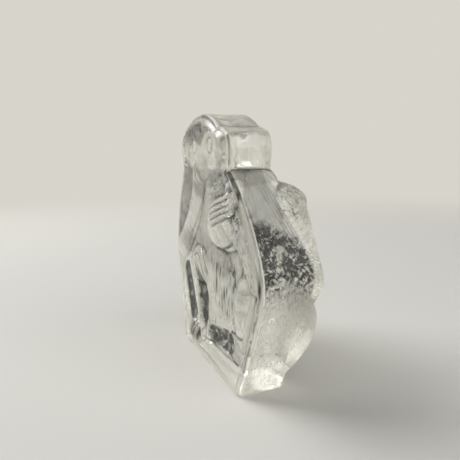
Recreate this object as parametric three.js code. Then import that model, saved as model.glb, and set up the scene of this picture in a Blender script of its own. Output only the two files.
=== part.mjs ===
// A seated monkey pressed in one piece of clear glass. It is a thick slab cut to the animal's outline.
// The face, ears, arms, hand, legs and foot stand out on the front, and the back of the head, the shoulders,
// the spine, the haunches and the tail on the back. Sizes are in millimetres: X runs across the slab,
// Y from the front to the back, and Z up from the base.
import * as THREE from "three";

// Outline, as heights above each other and half widths from the middle
const NECK_HEIGHT = 95.5; // base to the notch under the ears
const EAR_HEIGHT = 16.5; // notch to the top of the ears
const CROWN_HEIGHT = 8; // top of the ears to the top of the head
const ELBOW_HEIGHT = 52; // base to the widest place
const BASE_HALF = 36.5;
const ELBOW_HALF = 53;
const LEFT_ELBOW_HALF = 51.5;
const NECK_HALF = 28.6;
const EAR_HALF = 31.4;
const CROWN_HALF = 18;
const LEFT_CROWN_HALF = 23.5; // the hair is fuller on the left
const EAR_LIP = 1.2; // how far the ear hangs out over the neck
const EAR_BULGE = 0.6; // how far its side swells out beyond EAR_HALF
const EAR_ROUNDING = 6; // width of its rounded top
const CROWN_STEP = 0.8; // how far the hair starts above the ear
const BASE_CORNER = 1; // radius of the outline's two lower corners
const ELBOW_ROUNDING = 10.5; // length over which the outline turns at the elbow
const SHOULDER_SWELL = 12; // how full the outline is above the elbow

// Depth of the side wall at the foot, haunch, elbow, neck, ear and crown, and how the front leaves its plane
const FOOT_DEPTH = 19.5;
const HAUNCH_DEPTH = 22.5;
const ELBOW_DEPTH = 27;
const NECK_DEPTH = 15.5;
const EAR_DEPTH = 17.8;
const CROWN_DEPTH = 17.5;
const WAIST_HOLLOW = 1.3; // the front edge lies this far back at the elbows
const HEAD_LEAN = 1.2; // and this far forward at the head
const PLINTH_LEAN = 0.7; // and at the base, up to the height of the foot
const FRONT_ROUNDING = 1.3; // radius of the front edge
const FRONT_RIM = 3; // width of the plain rim inside the front edge
const BACK_ROUNDING = 4.2; // width over which the back rises from its edge

// Head on the front: the hair stands out round a face that lies lower. The face is a round lobe about each
// eye and an oval down to the chin, with the muzzle on it.
const HAIR_RISE = 1.8;
const FACE_SINK = 1.5;
const EYE_OFFSET = 8.6;
const EYE_ABOVE_NECK = 9.3;
const EYE_LOBE_HALF = 9.3;
const CHIN_HALF = 10.5;
const CHIN_LENGTH = 18;
const MUZZLE_HALF = 9;
const MUZZLE_HEIGHT = 13.5;
const MUZZLE_RISE = 1;
const EAR_HOLLOW_HALF = 3.2;
const EAR_HOLLOW_HEIGHT = 9.6;
const EAR_RIM = 2.8; // from the outline in to the hollow of the ear

// Arms and hand on the front: the right hand lies on the chest
const ARM_RISE = 2.3;
const LEFT_ARM_HALF = 7.5;
const LEFT_SHOULDER_OFFSET = 7;
const LEFT_ARM_BOW = 4.5; // how far the left arm bows in towards the chest
const RIGHT_ARM_HALF = 6;
const HAND_LENGTH = 35;
const HAND_WIDTH = 22;
const HAND_RISE = 3.2;
const HAND_HEIGHT = 73;
const HAND_OFFSET = 18.5; // middle of the hand from the middle of the slab
const HAND_TURN = 0.28; // radians above level
const HAND_FULLNESS = 0.55;

// Four fingers bend over the upper half of the hand, closest together at the knuckles
const FINGER_COUNT = 4;
const FINGER_HALF = 1.7;
const FINGER_RISE = 1.2;
const KNUCKLE_REACH = 16.5; // from the middle of the hand, outwards and up to the first knuckle
const KNUCKLE_LIFT = 13;
const KNUCKLE_PITCH = 2.2;
const FINGER_REACH = 5.5; // outwards and up to the bend of the first finger
const FINGER_LIFT = 10.8;
const FINGER_PITCH = 3;
const TIP_REACH = 8; // inwards and up to the first finger's tip
const TIP_LIFT = 5.7;
const TIP_PITCH = 3.3;
const BEND_STEPS = 8; // straight lengths that make up a bent finger

// Belly, legs and foot on the front
const BELLY_OFFSET = 12;
const BELLY_WIDTH = 40;
const BELLY_HEIGHT = 34;
const BELLY_RISE = 1.5;
const KNEE_HEIGHT = 47;
const KNEE_RISE = 2.6;
const LEFT_KNEE_OFFSET = 12;
const LEFT_KNEE_HALF = 13;
const SHIN_HALF = 3.2;
const SHIN_RISE = 1.2;
const SHIN_REACH = 15; // from the middle of the knee out to the top of the shin
const RIGHT_THIGH_HALF = 11;
const RIGHT_THIGH_HEIGHT = 34;
const FOOT_HEIGHT = 11;
const FOOT_LENGTH = 18;
const FOOT_WIDTH = 12;
const FOOT_RISE = 2.2;
const FOOT_OFFSET = 16.5; // middle of the foot from the middle of the slab

// Hollows round the leg: outside the shin, between the shin and the belly, and above the base
const LEG_HOLLOW = 1.8;
const OUTER_GAP = 10; // from the middle of the shin to the middle of the hollow outside it
const OUTER_GAP_HALF = 7.5;
const INNER_GAP_OFFSET = 10;
const INNER_GAP_HEIGHT = 32;
const INNER_GAP_HALF = 8;
const INNER_GAP_LENGTH = 38;
const INNER_GAP_TURN = 0.2;
const GROUND_START = 4; // the hollow above the base runs between these distances from the middle
const GROUND_END = 21;
const GROUND_HEIGHT = 17.5;
const GROUND_CLIMB = 4;
const GROUND_HALF = 5.5;

// Back, as heights above the plane of the back
const BACK_LEVEL = 22.5;
const HEAD_BACK_LEVEL = 19;
const SPINE_RISE = 6.5;
const SPINE_WIDTH = 55;
const SHOULDER_RISE = 9.5;
const SHOULDER_BELOW_NECK = 11;
const SHOULDER_HALF = 11;
const SHOULDER_THICKNESS = 13;
const BACK_ARM_RISE = 10.2;
const BACK_ARM_HALF = 12;
const HAUNCH_RISE = 11.2;
const HAUNCH_HEIGHT = 28;
const HAUNCH_HALF = 20;
const HAUNCH_FULLNESS = 0.6;
const SIDE_INSET = 6; // how far the arms and haunches on the back lie in from the outline
const TAIL_RISE = 2.4;
const TAIL_HEIGHT = 6.5;
const TAIL_HALF = 8;
const NAPE_RISE = 4.2;
const NAPE_HALF = 9;

// How full the swelling forms are: 0.5 is a half round, and 1 is a softer hill
const FRONT_FULLNESS = 0.9;
const BACK_FULLNESS = 0.7;

// Steps of the mesh along half the outline, across the front and back, and over the edge
const ROWS = { base: 8, corner: 2, flank: 15, shoulder: 24, lip: 1, ear: 7, step: 2, crown: 9 };
const CROWDING = 0.5; // how much closer the shoulder's steps lie in its middle, beside the fingers
const CORE_HALF_COLUMNS = 8;
const CORE_SHARE = 0.4; // width of the core as a share of the outline
const CORE_LOW = 0.18; // its lower and upper end as shares of the height
const CORE_HIGH = 0.86;
const FRONT_RINGS = 12;
const EDGE_RINGS = 3;
const WALL_RINGS = 2;
const BACK_RINGS = 14;

const EAR_TOP = NECK_HEIGHT + EAR_HEIGHT;
const HEIGHT = EAR_TOP + CROWN_HEIGHT;

const clamp = (v, low, high) => Math.min(high, Math.max(low, v));
const mix = (a, b, t) => a + (b - a) * t;
const ease = (t) => t * t * (3 - 2 * t);
const step = (from, to, v) => ease(clamp((v - from) / (to - from), 0, 1));
const v2 = (x, z) => new THREE.Vector2(x, z);

// A dome on an elliptical plan: x and z are its middle, turn is anticlockwise seen from the front.
function dome(x, z, halfX, halfZ, rise, turn = 0, fullness = FRONT_FULLNESS) {
  const c = Math.cos(turn);
  const s = Math.sin(turn);
  return (px, pz) => {
    const u = ((px - x) * c + (pz - z) * s) / halfX;
    const v = ((pz - z) * c - (px - x) * s) / halfZ;
    const q = u * u + v * v;
    return q < 1 ? rise * Math.pow(1 - q, fullness) : 0;
  };
}

// A rounded ridge along the straight line from one place to another.
function ridge(from, to, half, rise, fullness = FRONT_FULLNESS) {
  const dx = to[0] - from[0];
  const dz = to[1] - from[1];
  const square = dx * dx + dz * dz;
  return (px, pz) => {
    const t = clamp(((px - from[0]) * dx + (pz - from[1]) * dz) / square, 0, 1);
    const q = Math.hypot(px - from[0] - t * dx, pz - from[1] - t * dz) / half;
    return q < 1 ? rise * Math.pow(1 - q * q, fullness) : 0;
  };
}

// A rounded ridge along a curve through three places, cut into straight ridges of which the highest counts.
function bentRidge(from, through, to, half, rise) {
  const control = through.map((v, k) => 2 * v - (from[k] + to[k]) / 2);
  const curve = new THREE.QuadraticBezierCurve(v2(...from), v2(...control), v2(...to));
  const points = curve.getPoints(BEND_STEPS).map((p) => p.toArray());
  const straights = points.slice(1).map((p, k) => ridge(points[k], p, half, rise));
  return (px, pz) => Math.max(...straights.map((form) => form(px, pz)));
}

// A flat-topped plate on an elliptical plan, with a soft border.
function plate(x, z, halfX, halfZ, rise) {
  return (px, pz) => rise * (1 - step(0.8, 1, Math.hypot((px - x) / halfX, (pz - z) / halfZ)));
}

// The height of several forms that run into each other: the fourth root of the sum of their fourth
// powers, which follows the highest one and rounds the valley between two.
const joined = (forms, x, z) => Math.pow(forms.reduce((sum, form) => sum + form(x, z) ** 4, 0), 0.25);

const crownHair = plate(0, NECK_HEIGHT + EAR_HEIGHT * 0.67, EAR_HALF * 0.86, EAR_HEIGHT * 0.8, HAIR_RISE);
const faceForms = [
  plate(-EYE_OFFSET, NECK_HEIGHT + EYE_ABOVE_NECK, EYE_LOBE_HALF, EYE_LOBE_HALF, FACE_SINK),
  plate(EYE_OFFSET, NECK_HEIGHT + EYE_ABOVE_NECK, EYE_LOBE_HALF, EYE_LOBE_HALF, FACE_SINK),
  plate(0, NECK_HEIGHT + 2, CHIN_HALF, CHIN_LENGTH / 2, FACE_SINK),
];
const muzzle = dome(0, NECK_HEIGHT + 1.5, MUZZLE_HALF, MUZZLE_HEIGHT / 2, MUZZLE_RISE);
const earHollows = [-1, 1].map((side) => {
  const x = side * (EAR_HALF - EAR_RIM - EAR_HOLLOW_HALF);
  return dome(x, NECK_HEIGHT + EAR_HEIGHT * 0.58, EAR_HOLLOW_HALF, EAR_HOLLOW_HEIGHT / 2, HAIR_RISE);
});

const leftShoulder = [-LEFT_SHOULDER_OFFSET, NECK_HEIGHT - LEFT_ARM_HALF + 3];
const leftElbow = [LEFT_ARM_HALF + 4 - LEFT_ELBOW_HALF, ELBOW_HEIGHT];
const leftBend = leftShoulder.map((v, k) => (v + leftElbow[k]) / 2);
leftBend[0] += LEFT_ARM_BOW;
const rightShoulder = [NECK_HALF + 2, NECK_HEIGHT - RIGHT_ARM_HALF - 3];
const rightElbow = [ELBOW_HALF - RIGHT_ARM_HALF / 2, ELBOW_HEIGHT + 2];
const wrist = [HAND_OFFSET + HAND_LENGTH * 0.45, HAND_HEIGHT - 2];
const shinTop = [-LEFT_KNEE_OFFSET - SHIN_REACH, KNEE_HEIGHT + 1];
const ankle = [FOOT_LENGTH / 2 + 0.5 - FOOT_OFFSET, FOOT_HEIGHT + 1];
const rightThigh = ELBOW_HALF - RIGHT_THIGH_HALF - 2;
const bodyForms = [
  bentRidge(leftShoulder, leftBend, leftElbow, LEFT_ARM_HALF, ARM_RISE),
  ridge(rightShoulder, rightElbow, RIGHT_ARM_HALF, ARM_RISE),
  ridge(wrist, rightElbow, RIGHT_ARM_HALF, ARM_RISE),
  dome(HAND_OFFSET, HAND_HEIGHT, HAND_LENGTH / 2, HAND_WIDTH / 2, HAND_RISE, HAND_TURN, HAND_FULLNESS),
  dome(BELLY_OFFSET, KNEE_HEIGHT - 2, BELLY_WIDTH / 2, BELLY_HEIGHT / 2, BELLY_RISE),
  dome(-LEFT_KNEE_OFFSET, KNEE_HEIGHT, LEFT_KNEE_HALF, LEFT_KNEE_HALF * 0.8, KNEE_RISE),
  ridge(shinTop, ankle, SHIN_HALF, SHIN_RISE),
  dome(rightThigh, KNEE_HEIGHT - 9, RIGHT_THIGH_HALF, RIGHT_THIGH_HEIGHT / 2, KNEE_RISE, -0.15),
  dome(-FOOT_OFFSET, FOOT_HEIGHT, FOOT_LENGTH / 2, FOOT_WIDTH / 2, FOOT_RISE, 0.1),
];

const fingers = [];
for (let k = 0; k < FINGER_COUNT; k++) {
  const knuckle = [HAND_OFFSET + KNUCKLE_REACH, HAND_HEIGHT + KNUCKLE_LIFT - KNUCKLE_PITCH * k];
  const bend = [HAND_OFFSET + FINGER_REACH, HAND_HEIGHT + FINGER_LIFT - FINGER_PITCH * k];
  const tip = [HAND_OFFSET - TIP_REACH, HAND_HEIGHT + TIP_LIFT - TIP_PITCH * k];
  fingers.push(bentRidge(knuckle, bend, tip, FINGER_HALF, FINGER_RISE));
}

const besideShin = (t) => [mix(shinTop[0], ankle[0], t) - OUTER_GAP, mix(shinTop[1], ankle[1], t)];
const innerGap = [-INNER_GAP_OFFSET, INNER_GAP_HEIGHT, INNER_GAP_HALF, INNER_GAP_LENGTH / 2];
const groundStart = [GROUND_START, GROUND_HEIGHT - GROUND_CLIMB / 2];
const groundEnd = [GROUND_END, GROUND_HEIGHT + GROUND_CLIMB / 2];
const bodyHollows = [
  ridge(besideShin(0.28), besideShin(0.72), OUTER_GAP_HALF, LEG_HOLLOW),
  dome(...innerGap, LEG_HOLLOW, INNER_GAP_TURN),
  ridge(groundStart, groundEnd, GROUND_HALF, LEG_HOLLOW),
];

const shoulderHeight = NECK_HEIGHT - SHOULDER_BELOW_NECK;
const shoulderPlace = mix(NECK_HALF, ELBOW_HALF, 0.45) - SIDE_INSET;
const haunchPlace = mix(BASE_HALF, ELBOW_HALF, HAUNCH_HEIGHT / ELBOW_HEIGHT) - SIDE_INSET;
const napeEnd = NECK_HALF - NAPE_HALF;
const tailEnd = BASE_HALF - TAIL_HALF;
const backForms = [
  dome(0, ELBOW_HEIGHT, SPINE_WIDTH / 2, ELBOW_HEIGHT * 0.74, SPINE_RISE),
  dome(0, NECK_HEIGHT + EAR_HEIGHT * 0.55, EAR_HALF - 1, EAR_HEIGHT * 0.95, NAPE_RISE),
  ridge([-napeEnd, NECK_HEIGHT - 3], [napeEnd, NECK_HEIGHT - 3], NAPE_HALF, NAPE_RISE),
  ridge([-tailEnd, TAIL_HEIGHT], [tailEnd, TAIL_HEIGHT], TAIL_HALF, TAIL_RISE),
];
for (const side of [-1, 1]) {
  const shoulder = [side * shoulderPlace, shoulderHeight];
  const armTop = [side * shoulderPlace, shoulderHeight - SHOULDER_THICKNESS / 2];
  const armEnd = [side * (ELBOW_HALF - SIDE_INSET), ELBOW_HEIGHT - 1];
  backForms.push(
    dome(...shoulder, SHOULDER_HALF, SHOULDER_THICKNESS / 2, SHOULDER_RISE, 0, BACK_FULLNESS),
    ridge(armTop, armEnd, BACK_ARM_HALF, BACK_ARM_RISE, BACK_FULLNESS),
    dome(side * haunchPlace, HAUNCH_HEIGHT, HAUNCH_HALF, HAUNCH_HALF, HAUNCH_RISE, 0, HAUNCH_FULLNESS),
  );
}

// The front, as the distance behind the plane of the base's front edge.
function frontEdge(z) {
  const waist = Math.pow(Math.sin(Math.PI * clamp(z / NECK_HEIGHT, 0, 1)), 2);
  const head = step(NECK_HEIGHT - 12, NECK_HEIGHT + 3, z);
  const plinth = 1 - step(FOOT_HEIGHT / 2, FOOT_HEIGHT + 3, z);
  return WAIST_HOLLOW * waist - HEAD_LEAN * head - PLINTH_LEAN * plinth;
}

function frontRise(x, z) {
  const skull = Math.max(crownHair(x, z) - Math.min(joined(faceForms, x, z), FACE_SINK), 0);
  const raised = joined([() => skull, muzzle, ...bodyForms], x, z);
  const onHand = Math.max(...fingers.map((finger) => finger(x, z)));
  return raised + onHand - joined([...earHollows, ...bodyHollows], x, z);
}

// How deep the side wall is from the foot up to the neck.
function flankDepth(z) {
  if (z < HAUNCH_HEIGHT) return mix(FOOT_DEPTH, HAUNCH_DEPTH, step(0, HAUNCH_HEIGHT, z));
  if (z < ELBOW_HEIGHT) return mix(HAUNCH_DEPTH, ELBOW_DEPTH, step(HAUNCH_HEIGHT, ELBOW_HEIGHT, z));
  return mix(ELBOW_DEPTH, NECK_DEPTH, step(ELBOW_HEIGHT, NECK_HEIGHT, z));
}

// The share of a stretch at its step t, with the steps closest together in the middle.
const crowded = (t) => t + (CROWDING * Math.sin(2 * Math.PI * t)) / (2 * Math.PI);

// One side of the outline from the middle of the base to the top of the head: each entry has its place
// and the depth of the slab there.
function outlineSide(side, elbowHalf, crownHalf) {
  const neck = v2(NECK_HALF, NECK_HEIGHT);
  const lip = v2(NECK_HALF + EAR_LIP, NECK_HEIGHT + EAR_LIP);
  const widest = v2(elbowHalf, ELBOW_HEIGHT);
  const corner = v2(BASE_HALF, BASE_CORNER);
  const junction = v2(crownHalf, EAR_TOP + CROWN_STEP);
  const earTop = v2(Math.max(EAR_HALF - EAR_ROUNDING, crownHalf + 1), EAR_TOP);
  const base = new THREE.LineCurve(v2(0, 0), v2(BASE_HALF - BASE_CORNER, 0));
  const round = new THREE.QuadraticBezierCurve(base.v2, v2(BASE_HALF, 0), corner);
  const flank = new THREE.CubicBezierCurve(
    corner,
    v2(mix(BASE_HALF, elbowHalf, 0.33), ELBOW_HEIGHT * 0.35),
    v2(elbowHalf, ELBOW_HEIGHT - ELBOW_ROUNDING),
    widest,
  );
  const shoulder = new THREE.CubicBezierCurve(
    widest,
    v2(elbowHalf, ELBOW_HEIGHT + ELBOW_ROUNDING),
    v2(NECK_HALF + SHOULDER_SWELL, NECK_HEIGHT - SHOULDER_SWELL),
    neck,
  );
  const earLip = new THREE.LineCurve(neck, lip);
  const ear = new THREE.CubicBezierCurve(
    lip,
    v2(EAR_HALF + EAR_BULGE, mix(NECK_HEIGHT, EAR_TOP, 0.4)),
    v2(EAR_HALF + EAR_BULGE, mix(NECK_HEIGHT, EAR_TOP, 0.94)),
    earTop,
  );
  const earStep = new THREE.LineCurve(earTop, junction);
  const crown = new THREE.CubicBezierCurve(
    junction,
    v2(crownHalf * 0.75, mix(EAR_TOP, HEIGHT, 0.55)),
    v2(crownHalf * 0.45, HEIGHT),
    v2(0, HEIGHT),
  );
  const stretches = [
    [base, ROWS.base, flankDepth],
    [round, ROWS.corner, flankDepth],
    [flank, ROWS.flank, flankDepth],
    [shoulder, ROWS.shoulder, flankDepth],
    [earLip, ROWS.lip, () => NECK_DEPTH],
    [ear, ROWS.ear, () => EAR_DEPTH],
    [earStep, ROWS.step, () => EAR_DEPTH],
    [crown, ROWS.crown, (z) => mix(EAR_DEPTH, CROWN_DEPTH, step(EAR_TOP, HEIGHT, z))],
  ];
  const places = [];
  for (const [curve, count, depth] of stretches) {
    for (let k = 0; k < count; k++) {
      const t = k / count;
      const p = curve.getPointAt(curve === shoulder ? crowded(t) : t);
      places.push({ x: side * p.x, z: p.y, depth: depth(p.y) });
    }
  }
  return places;
}

// The whole outline, anticlockwise from the middle of the base: up the right side and down the left.
// Each place also gets the direction and distance to the core, a smaller outline in the middle.
function outline() {
  const right = outlineSide(1, ELBOW_HALF, CROWN_HALF);
  const left = outlineSide(-1, LEFT_ELBOW_HALF, LEFT_CROWN_HALF);
  const top = { x: 0, z: HEIGHT, depth: CROWN_DEPTH };
  const places = [...right, top, ...left.slice(1).reverse()];
  for (const p of places) {
    const core = v2(p.x * CORE_SHARE, mix(HEIGHT * CORE_LOW, HEIGHT * CORE_HIGH, p.z / HEIGHT));
    const inward = core.sub(v2(p.x, p.z));
    p.reach = inward.length();
    p.inward = inward.normalize();
  }
  return places;
}

const inset = (p, distance) => [p.x + p.inward.x * distance, p.z + p.inward.y * distance];

// The height of the front and of the back at one place, as its Y.
const frontSurface = (x, z) => frontEdge(z) - frontRise(x, z);
const backPlane = (z) => mix(BACK_LEVEL, HEAD_BACK_LEVEL, step(NECK_HEIGHT - 6, NECK_HEIGHT + 1, z));
const backSurface = (x, z) => backPlane(z) + joined(backForms, x, z);

// The rings of the skin, from the core of the front out to the edge, over the wall and back in to the core
// of the back. Each ring has one vertex for each place of the outline.
function rings(places) {
  const made = [];
  for (let k = 0; k < FRONT_RINGS; k++) {
    made.push(
      places.map((p) => {
        const distance = mix(p.reach, FRONT_ROUNDING, k / FRONT_RINGS);
        const [x, z] = inset(p, distance);
        const settled = step(FRONT_ROUNDING, FRONT_ROUNDING + FRONT_RIM, distance);
        return [x, mix(frontEdge(z), frontSurface(x, z), settled), z];
      }),
    );
  }
  for (let k = 0; k <= EDGE_RINGS; k++) {
    const angle = (Math.PI / 2) * (k / EDGE_RINGS);
    made.push(
      places.map((p) => {
        const [x, z] = inset(p, FRONT_ROUNDING * (1 - Math.sin(angle)));
        return [x, frontEdge(z) + FRONT_ROUNDING * (1 - Math.cos(angle)), z];
      }),
    );
  }
  for (let k = 1; k <= WALL_RINGS; k++) {
    made.push(
      places.map((p) => [p.x, mix(frontEdge(p.z) + FRONT_ROUNDING, p.depth, k / WALL_RINGS), p.z]),
    );
  }
  for (let k = 1; k <= BACK_RINGS; k++) {
    const t = Math.pow(k / BACK_RINGS, 1.4);
    made.push(
      places.map((p) => {
        const distance = p.reach * t;
        const [x, z] = inset(p, distance);
        const climb = 1 - Math.pow(1 - clamp(distance / BACK_ROUNDING, 0, 1), 2);
        return [x, mix(p.depth, backSurface(x, z), Math.sqrt(climb)), z];
      }),
    );
  }
  return made;
}

// A core's grid: columns run from the left to the right and rows from the bottom to the top. Its rim is the
// ring that starts at vertex "start", and its inner vertices are blended from the four sides of that rim.
function core(positions, start, count, surface) {
  const half = count / 2;
  const columns = 2 * CORE_HALF_COLUMNS;
  const rows = half - columns;
  const bottom = (c) => start + ((count - CORE_HALF_COLUMNS + c) % count);
  const top = (c) => start + half + CORE_HALF_COLUMNS - c;
  const left = (r) => start + count - CORE_HALF_COLUMNS - r;
  const right = (r) => start + CORE_HALF_COLUMNS + r;
  const at = (i) => v2(positions[3 * i], positions[3 * i + 2]);
  const grid = [];
  for (let r = 0; r <= rows; r++) {
    grid.push([]);
    for (let c = 0; c <= columns; c++) {
      if (r === 0) grid[r].push(bottom(c));
      else if (r === rows) grid[r].push(top(c));
      else if (c === 0) grid[r].push(left(r));
      else if (c === columns) grid[r].push(right(r));
      else {
        const u = c / columns;
        const v = r / rows;
        const place = at(bottom(c)).lerp(at(top(c)), v).add(at(left(r)).lerp(at(right(r)), u));
        const low = at(bottom(0)).lerp(at(bottom(columns)), u);
        const high = at(top(0)).lerp(at(top(columns)), u);
        place.sub(low.lerp(high, v));
        grid[r].push(positions.length / 3);
        positions.push(place.x, surface(place.x, place.y), place.y);
      }
    }
  }
  return grid;
}

// Joins the rings and the two cores into one closed skin.
function skin(loops) {
  const count = loops[0].length;
  const positions = loops.flat(2);
  const faces = [];
  const quad = (a, b, c, d) => faces.push(a, b, c, a, c, d);
  for (let k = 0; k + 1 < loops.length; k++) {
    for (let i = 0; i < count; i++) {
      const j = (i + 1) % count;
      quad(k * count + i, (k + 1) * count + i, (k + 1) * count + j, k * count + j);
    }
  }
  const front = core(positions, 0, count, frontSurface);
  const back = core(positions, (loops.length - 1) * count, count, backSurface);
  for (let r = 0; r + 1 < front.length; r++) {
    for (let c = 0; c < 2 * CORE_HALF_COLUMNS; c++) {
      quad(front[r][c], front[r][c + 1], front[r + 1][c + 1], front[r + 1][c]);
      quad(back[r][c], back[r + 1][c], back[r + 1][c + 1], back[r][c + 1]);
    }
  }
  const geometry = new THREE.BufferGeometry();
  geometry.setAttribute("position", new THREE.Float32BufferAttribute(positions, 3));
  geometry.setIndex(faces);
  return geometry;
}

// The origin is at the middle of the base's box, so the slab is moved there.
function centred(geometry) {
  geometry.computeBoundingBox();
  const middle = geometry.boundingBox.getCenter(new THREE.Vector3());
  geometry.translate(-middle.x, -middle.y, -geometry.boundingBox.min.z);
  geometry.computeVertexNormals();
  return geometry;
}

const clearGlass = new THREE.MeshStandardMaterial({
  color: 0xdfe3da,
  roughness: 0.08,
  metalness: 0,
  transparent: true,
  opacity: 0.45,
});

const monkey = new THREE.Mesh(centred(skin(rings(outline()))), clearGlass);
monkey.name = "glass_monkey";

const figurine = new THREE.Group();
figurine.name = "monkey_figurine";
figurine.add(monkey);
export default figurine;
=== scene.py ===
"""A seated monkey pressed in one piece of clear glass.

The glass is one closed skin. Its outline, its wall and the swelling forms of its front and back are those of
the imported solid, worked out on a fine grid, and the face, hair, ears, fingers, toes and fur are carved into
it. X runs across the slab, Y from front to back and Z up. Sizes are in millimetres up to the finished grid,
and in metres for the glass's grain and the stage.
"""
import math

import bpy
import numpy as np
from bpy.props import FloatProperty, FloatVectorProperty, PointerProperty
from mathutils import Matrix, Vector


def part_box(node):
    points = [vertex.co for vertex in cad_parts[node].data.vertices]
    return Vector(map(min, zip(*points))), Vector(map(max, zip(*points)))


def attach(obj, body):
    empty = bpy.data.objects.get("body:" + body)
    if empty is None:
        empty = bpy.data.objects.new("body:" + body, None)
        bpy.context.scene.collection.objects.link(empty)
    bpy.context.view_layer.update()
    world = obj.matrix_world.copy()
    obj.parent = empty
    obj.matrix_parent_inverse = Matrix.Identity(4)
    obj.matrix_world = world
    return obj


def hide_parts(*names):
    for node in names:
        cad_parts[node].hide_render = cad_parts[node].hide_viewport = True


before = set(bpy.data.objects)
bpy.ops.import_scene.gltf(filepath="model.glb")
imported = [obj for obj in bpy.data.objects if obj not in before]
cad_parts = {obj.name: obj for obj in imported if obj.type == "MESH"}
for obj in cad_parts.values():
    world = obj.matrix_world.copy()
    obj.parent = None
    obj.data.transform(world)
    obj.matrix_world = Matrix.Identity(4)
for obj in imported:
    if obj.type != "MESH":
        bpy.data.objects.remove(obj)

bl_info = {
    "name": "Pressed glass monkey",
    "version": (1, 0, 0),
    "blender": (4, 5, 0),
    "location": "View3D > Sidebar > Monkey",
    "description": "Dresses the packed figurine as clear pressed glass on a pale studio floor",
    "category": "Object",
}

MM = 0.001
NODE = "glass_monkey"
GLASS_LOW, GLASS_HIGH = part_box(NODE)

# Outline, as heights above each other and half widths from the middle
NECK_HEIGHT = 95.5
EAR_HEIGHT = 16.5
CROWN_HEIGHT = 8.0
ELBOW_HEIGHT = 52.0
BASE_HALF = 36.5
ELBOW_HALF = 53.0
LEFT_ELBOW_HALF = 51.5
NECK_HALF = 28.6
EAR_HALF = 31.4
CROWN_HALF = 18.0
LEFT_CROWN_HALF = 23.5
EAR_LIP = 1.2
EAR_BULGE = 0.6
EAR_ROUNDING = 6.0
CROWN_STEP = 0.8
BASE_CORNER = 1.0
ELBOW_ROUNDING = 10.5
SHOULDER_SWELL = 12.0
EAR_TOP = NECK_HEIGHT + EAR_HEIGHT
HEIGHT = EAR_TOP + CROWN_HEIGHT
# Where its curves are drawn to, as shares of the way out and up
FLANK_PULL = (0.33, 0.35)
EAR_PULLS = (0.4, 0.94)
NOTCH_PULL = 0.4
NOTCH_LIFT = 0.6
CROWN_FOOT = (0.4, 0.9)
CROWN_PULL = (0.78, 0.62)
TOP_PULL = 0.45

# Depth of the side wall, and how the front leaves its plane
FOOT_DEPTH = 19.5
HAUNCH_DEPTH = 22.5
ELBOW_DEPTH = 27.0
NECK_DEPTH = 15.5
EAR_DEPTH = 17.8
CROWN_DEPTH = 17.5
WAIST_HOLLOW = 1.3
HEAD_LEAN = 1.2
PLINTH_LEAN = 0.7
FRONT_ROUNDING = 1.3
FRONT_RIM = 3.0
BACK_ROUNDING = 4.2

# Head: the face lies lower than the hair round it. Each lobe of the face: X, height over the neck, half sizes
HAIR_RISE = 1.8
FACE_SINK = 1.5
FACE_LOBES = ((-10.5, 6.0, 10.5, 8.6), (9.2, 8.6, 10.6, 9.8), (0.0, 2.5, 12.5, 9.6))
MUZZLE_LIFT = 1.5
MUZZLE_HALF = 9.0
MUZZLE_HEIGHT = 13.5
MUZZLE_RISE = 1.0
EAR_HOLLOW_HALF = 3.2
EAR_HOLLOW_HEIGHT = 9.6
EAR_RIM = 2.8

# Arms and the hand on the chest, with its fingers
ARM_RISE = 2.3
LEFT_ARM_HALF = 7.5
LEFT_SHOULDER_OFFSET = 7.0
LEFT_ARM_BOW = 4.5
LEFT_ELBOW_INSET = 4.0
RIGHT_ARM_HALF = 6.0
RIGHT_SHOULDER_REACH = 2.0
RIGHT_ELBOW_LIFT = 2.0
SHOULDER_SHIFT = 3.0
HAND_LENGTH = 35.0
HAND_WIDTH = 22.0
HAND_RISE = 3.2
HAND_HEIGHT = 73.0
HAND_OFFSET = 18.5
HAND_TURN = 0.28
HAND_FULLNESS = 0.55
WRIST_REACH = HAND_LENGTH * 0.45
WRIST_DROP = 2.0
FINGER_COUNT = 4
FINGER_HALF = 1.55
FINGER_GAP_HALF = 0.6
KNUCKLE_REACH = 16.5
KNUCKLE_LIFT = 13.0
KNUCKLE_PITCH = 2.2
FINGER_REACH = 5.5
FINGER_LIFT = 10.8
FINGER_PITCH = 2.7
TIP_REACH = 8.0
TIP_SHIFT = 1.2
TIP_LIFT = 6.4
TIP_PITCH = 2.4

# Belly, legs and foot
BELLY_OFFSET = 12.0
BELLY_DROP = 2.0
BELLY_WIDTH = 40.0
BELLY_HEIGHT = 34.0
BELLY_RISE = 1.5
KNEE_HEIGHT = 47.0
KNEE_RISE = 2.6
KNEE_FLATNESS = 0.8
LEFT_KNEE_OFFSET = 12.0
LEFT_KNEE_HALF = 13.0
SHIN_HALF = 3.2
SHIN_RISE = 1.2
SHIN_REACH = 15.0
RIGHT_THIGH_HALF = 11.0
RIGHT_THIGH_HEIGHT = 34.0
RIGHT_THIGH_INSET = 2.0
RIGHT_THIGH_DROP = 9.0
RIGHT_THIGH_TURN = -0.15
FOOT_HEIGHT = 11.0
FOOT_LENGTH = 18.0
FOOT_WIDTH = 12.0
FOOT_RISE = 2.2
FOOT_OFFSET = 16.5
FOOT_TURN = 0.1
SHIN_TOP = (-LEFT_KNEE_OFFSET - SHIN_REACH, KNEE_HEIGHT + 1.0)
ANKLE = (FOOT_LENGTH / 2 + 0.5 - FOOT_OFFSET, FOOT_HEIGHT + 1.0)

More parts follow.
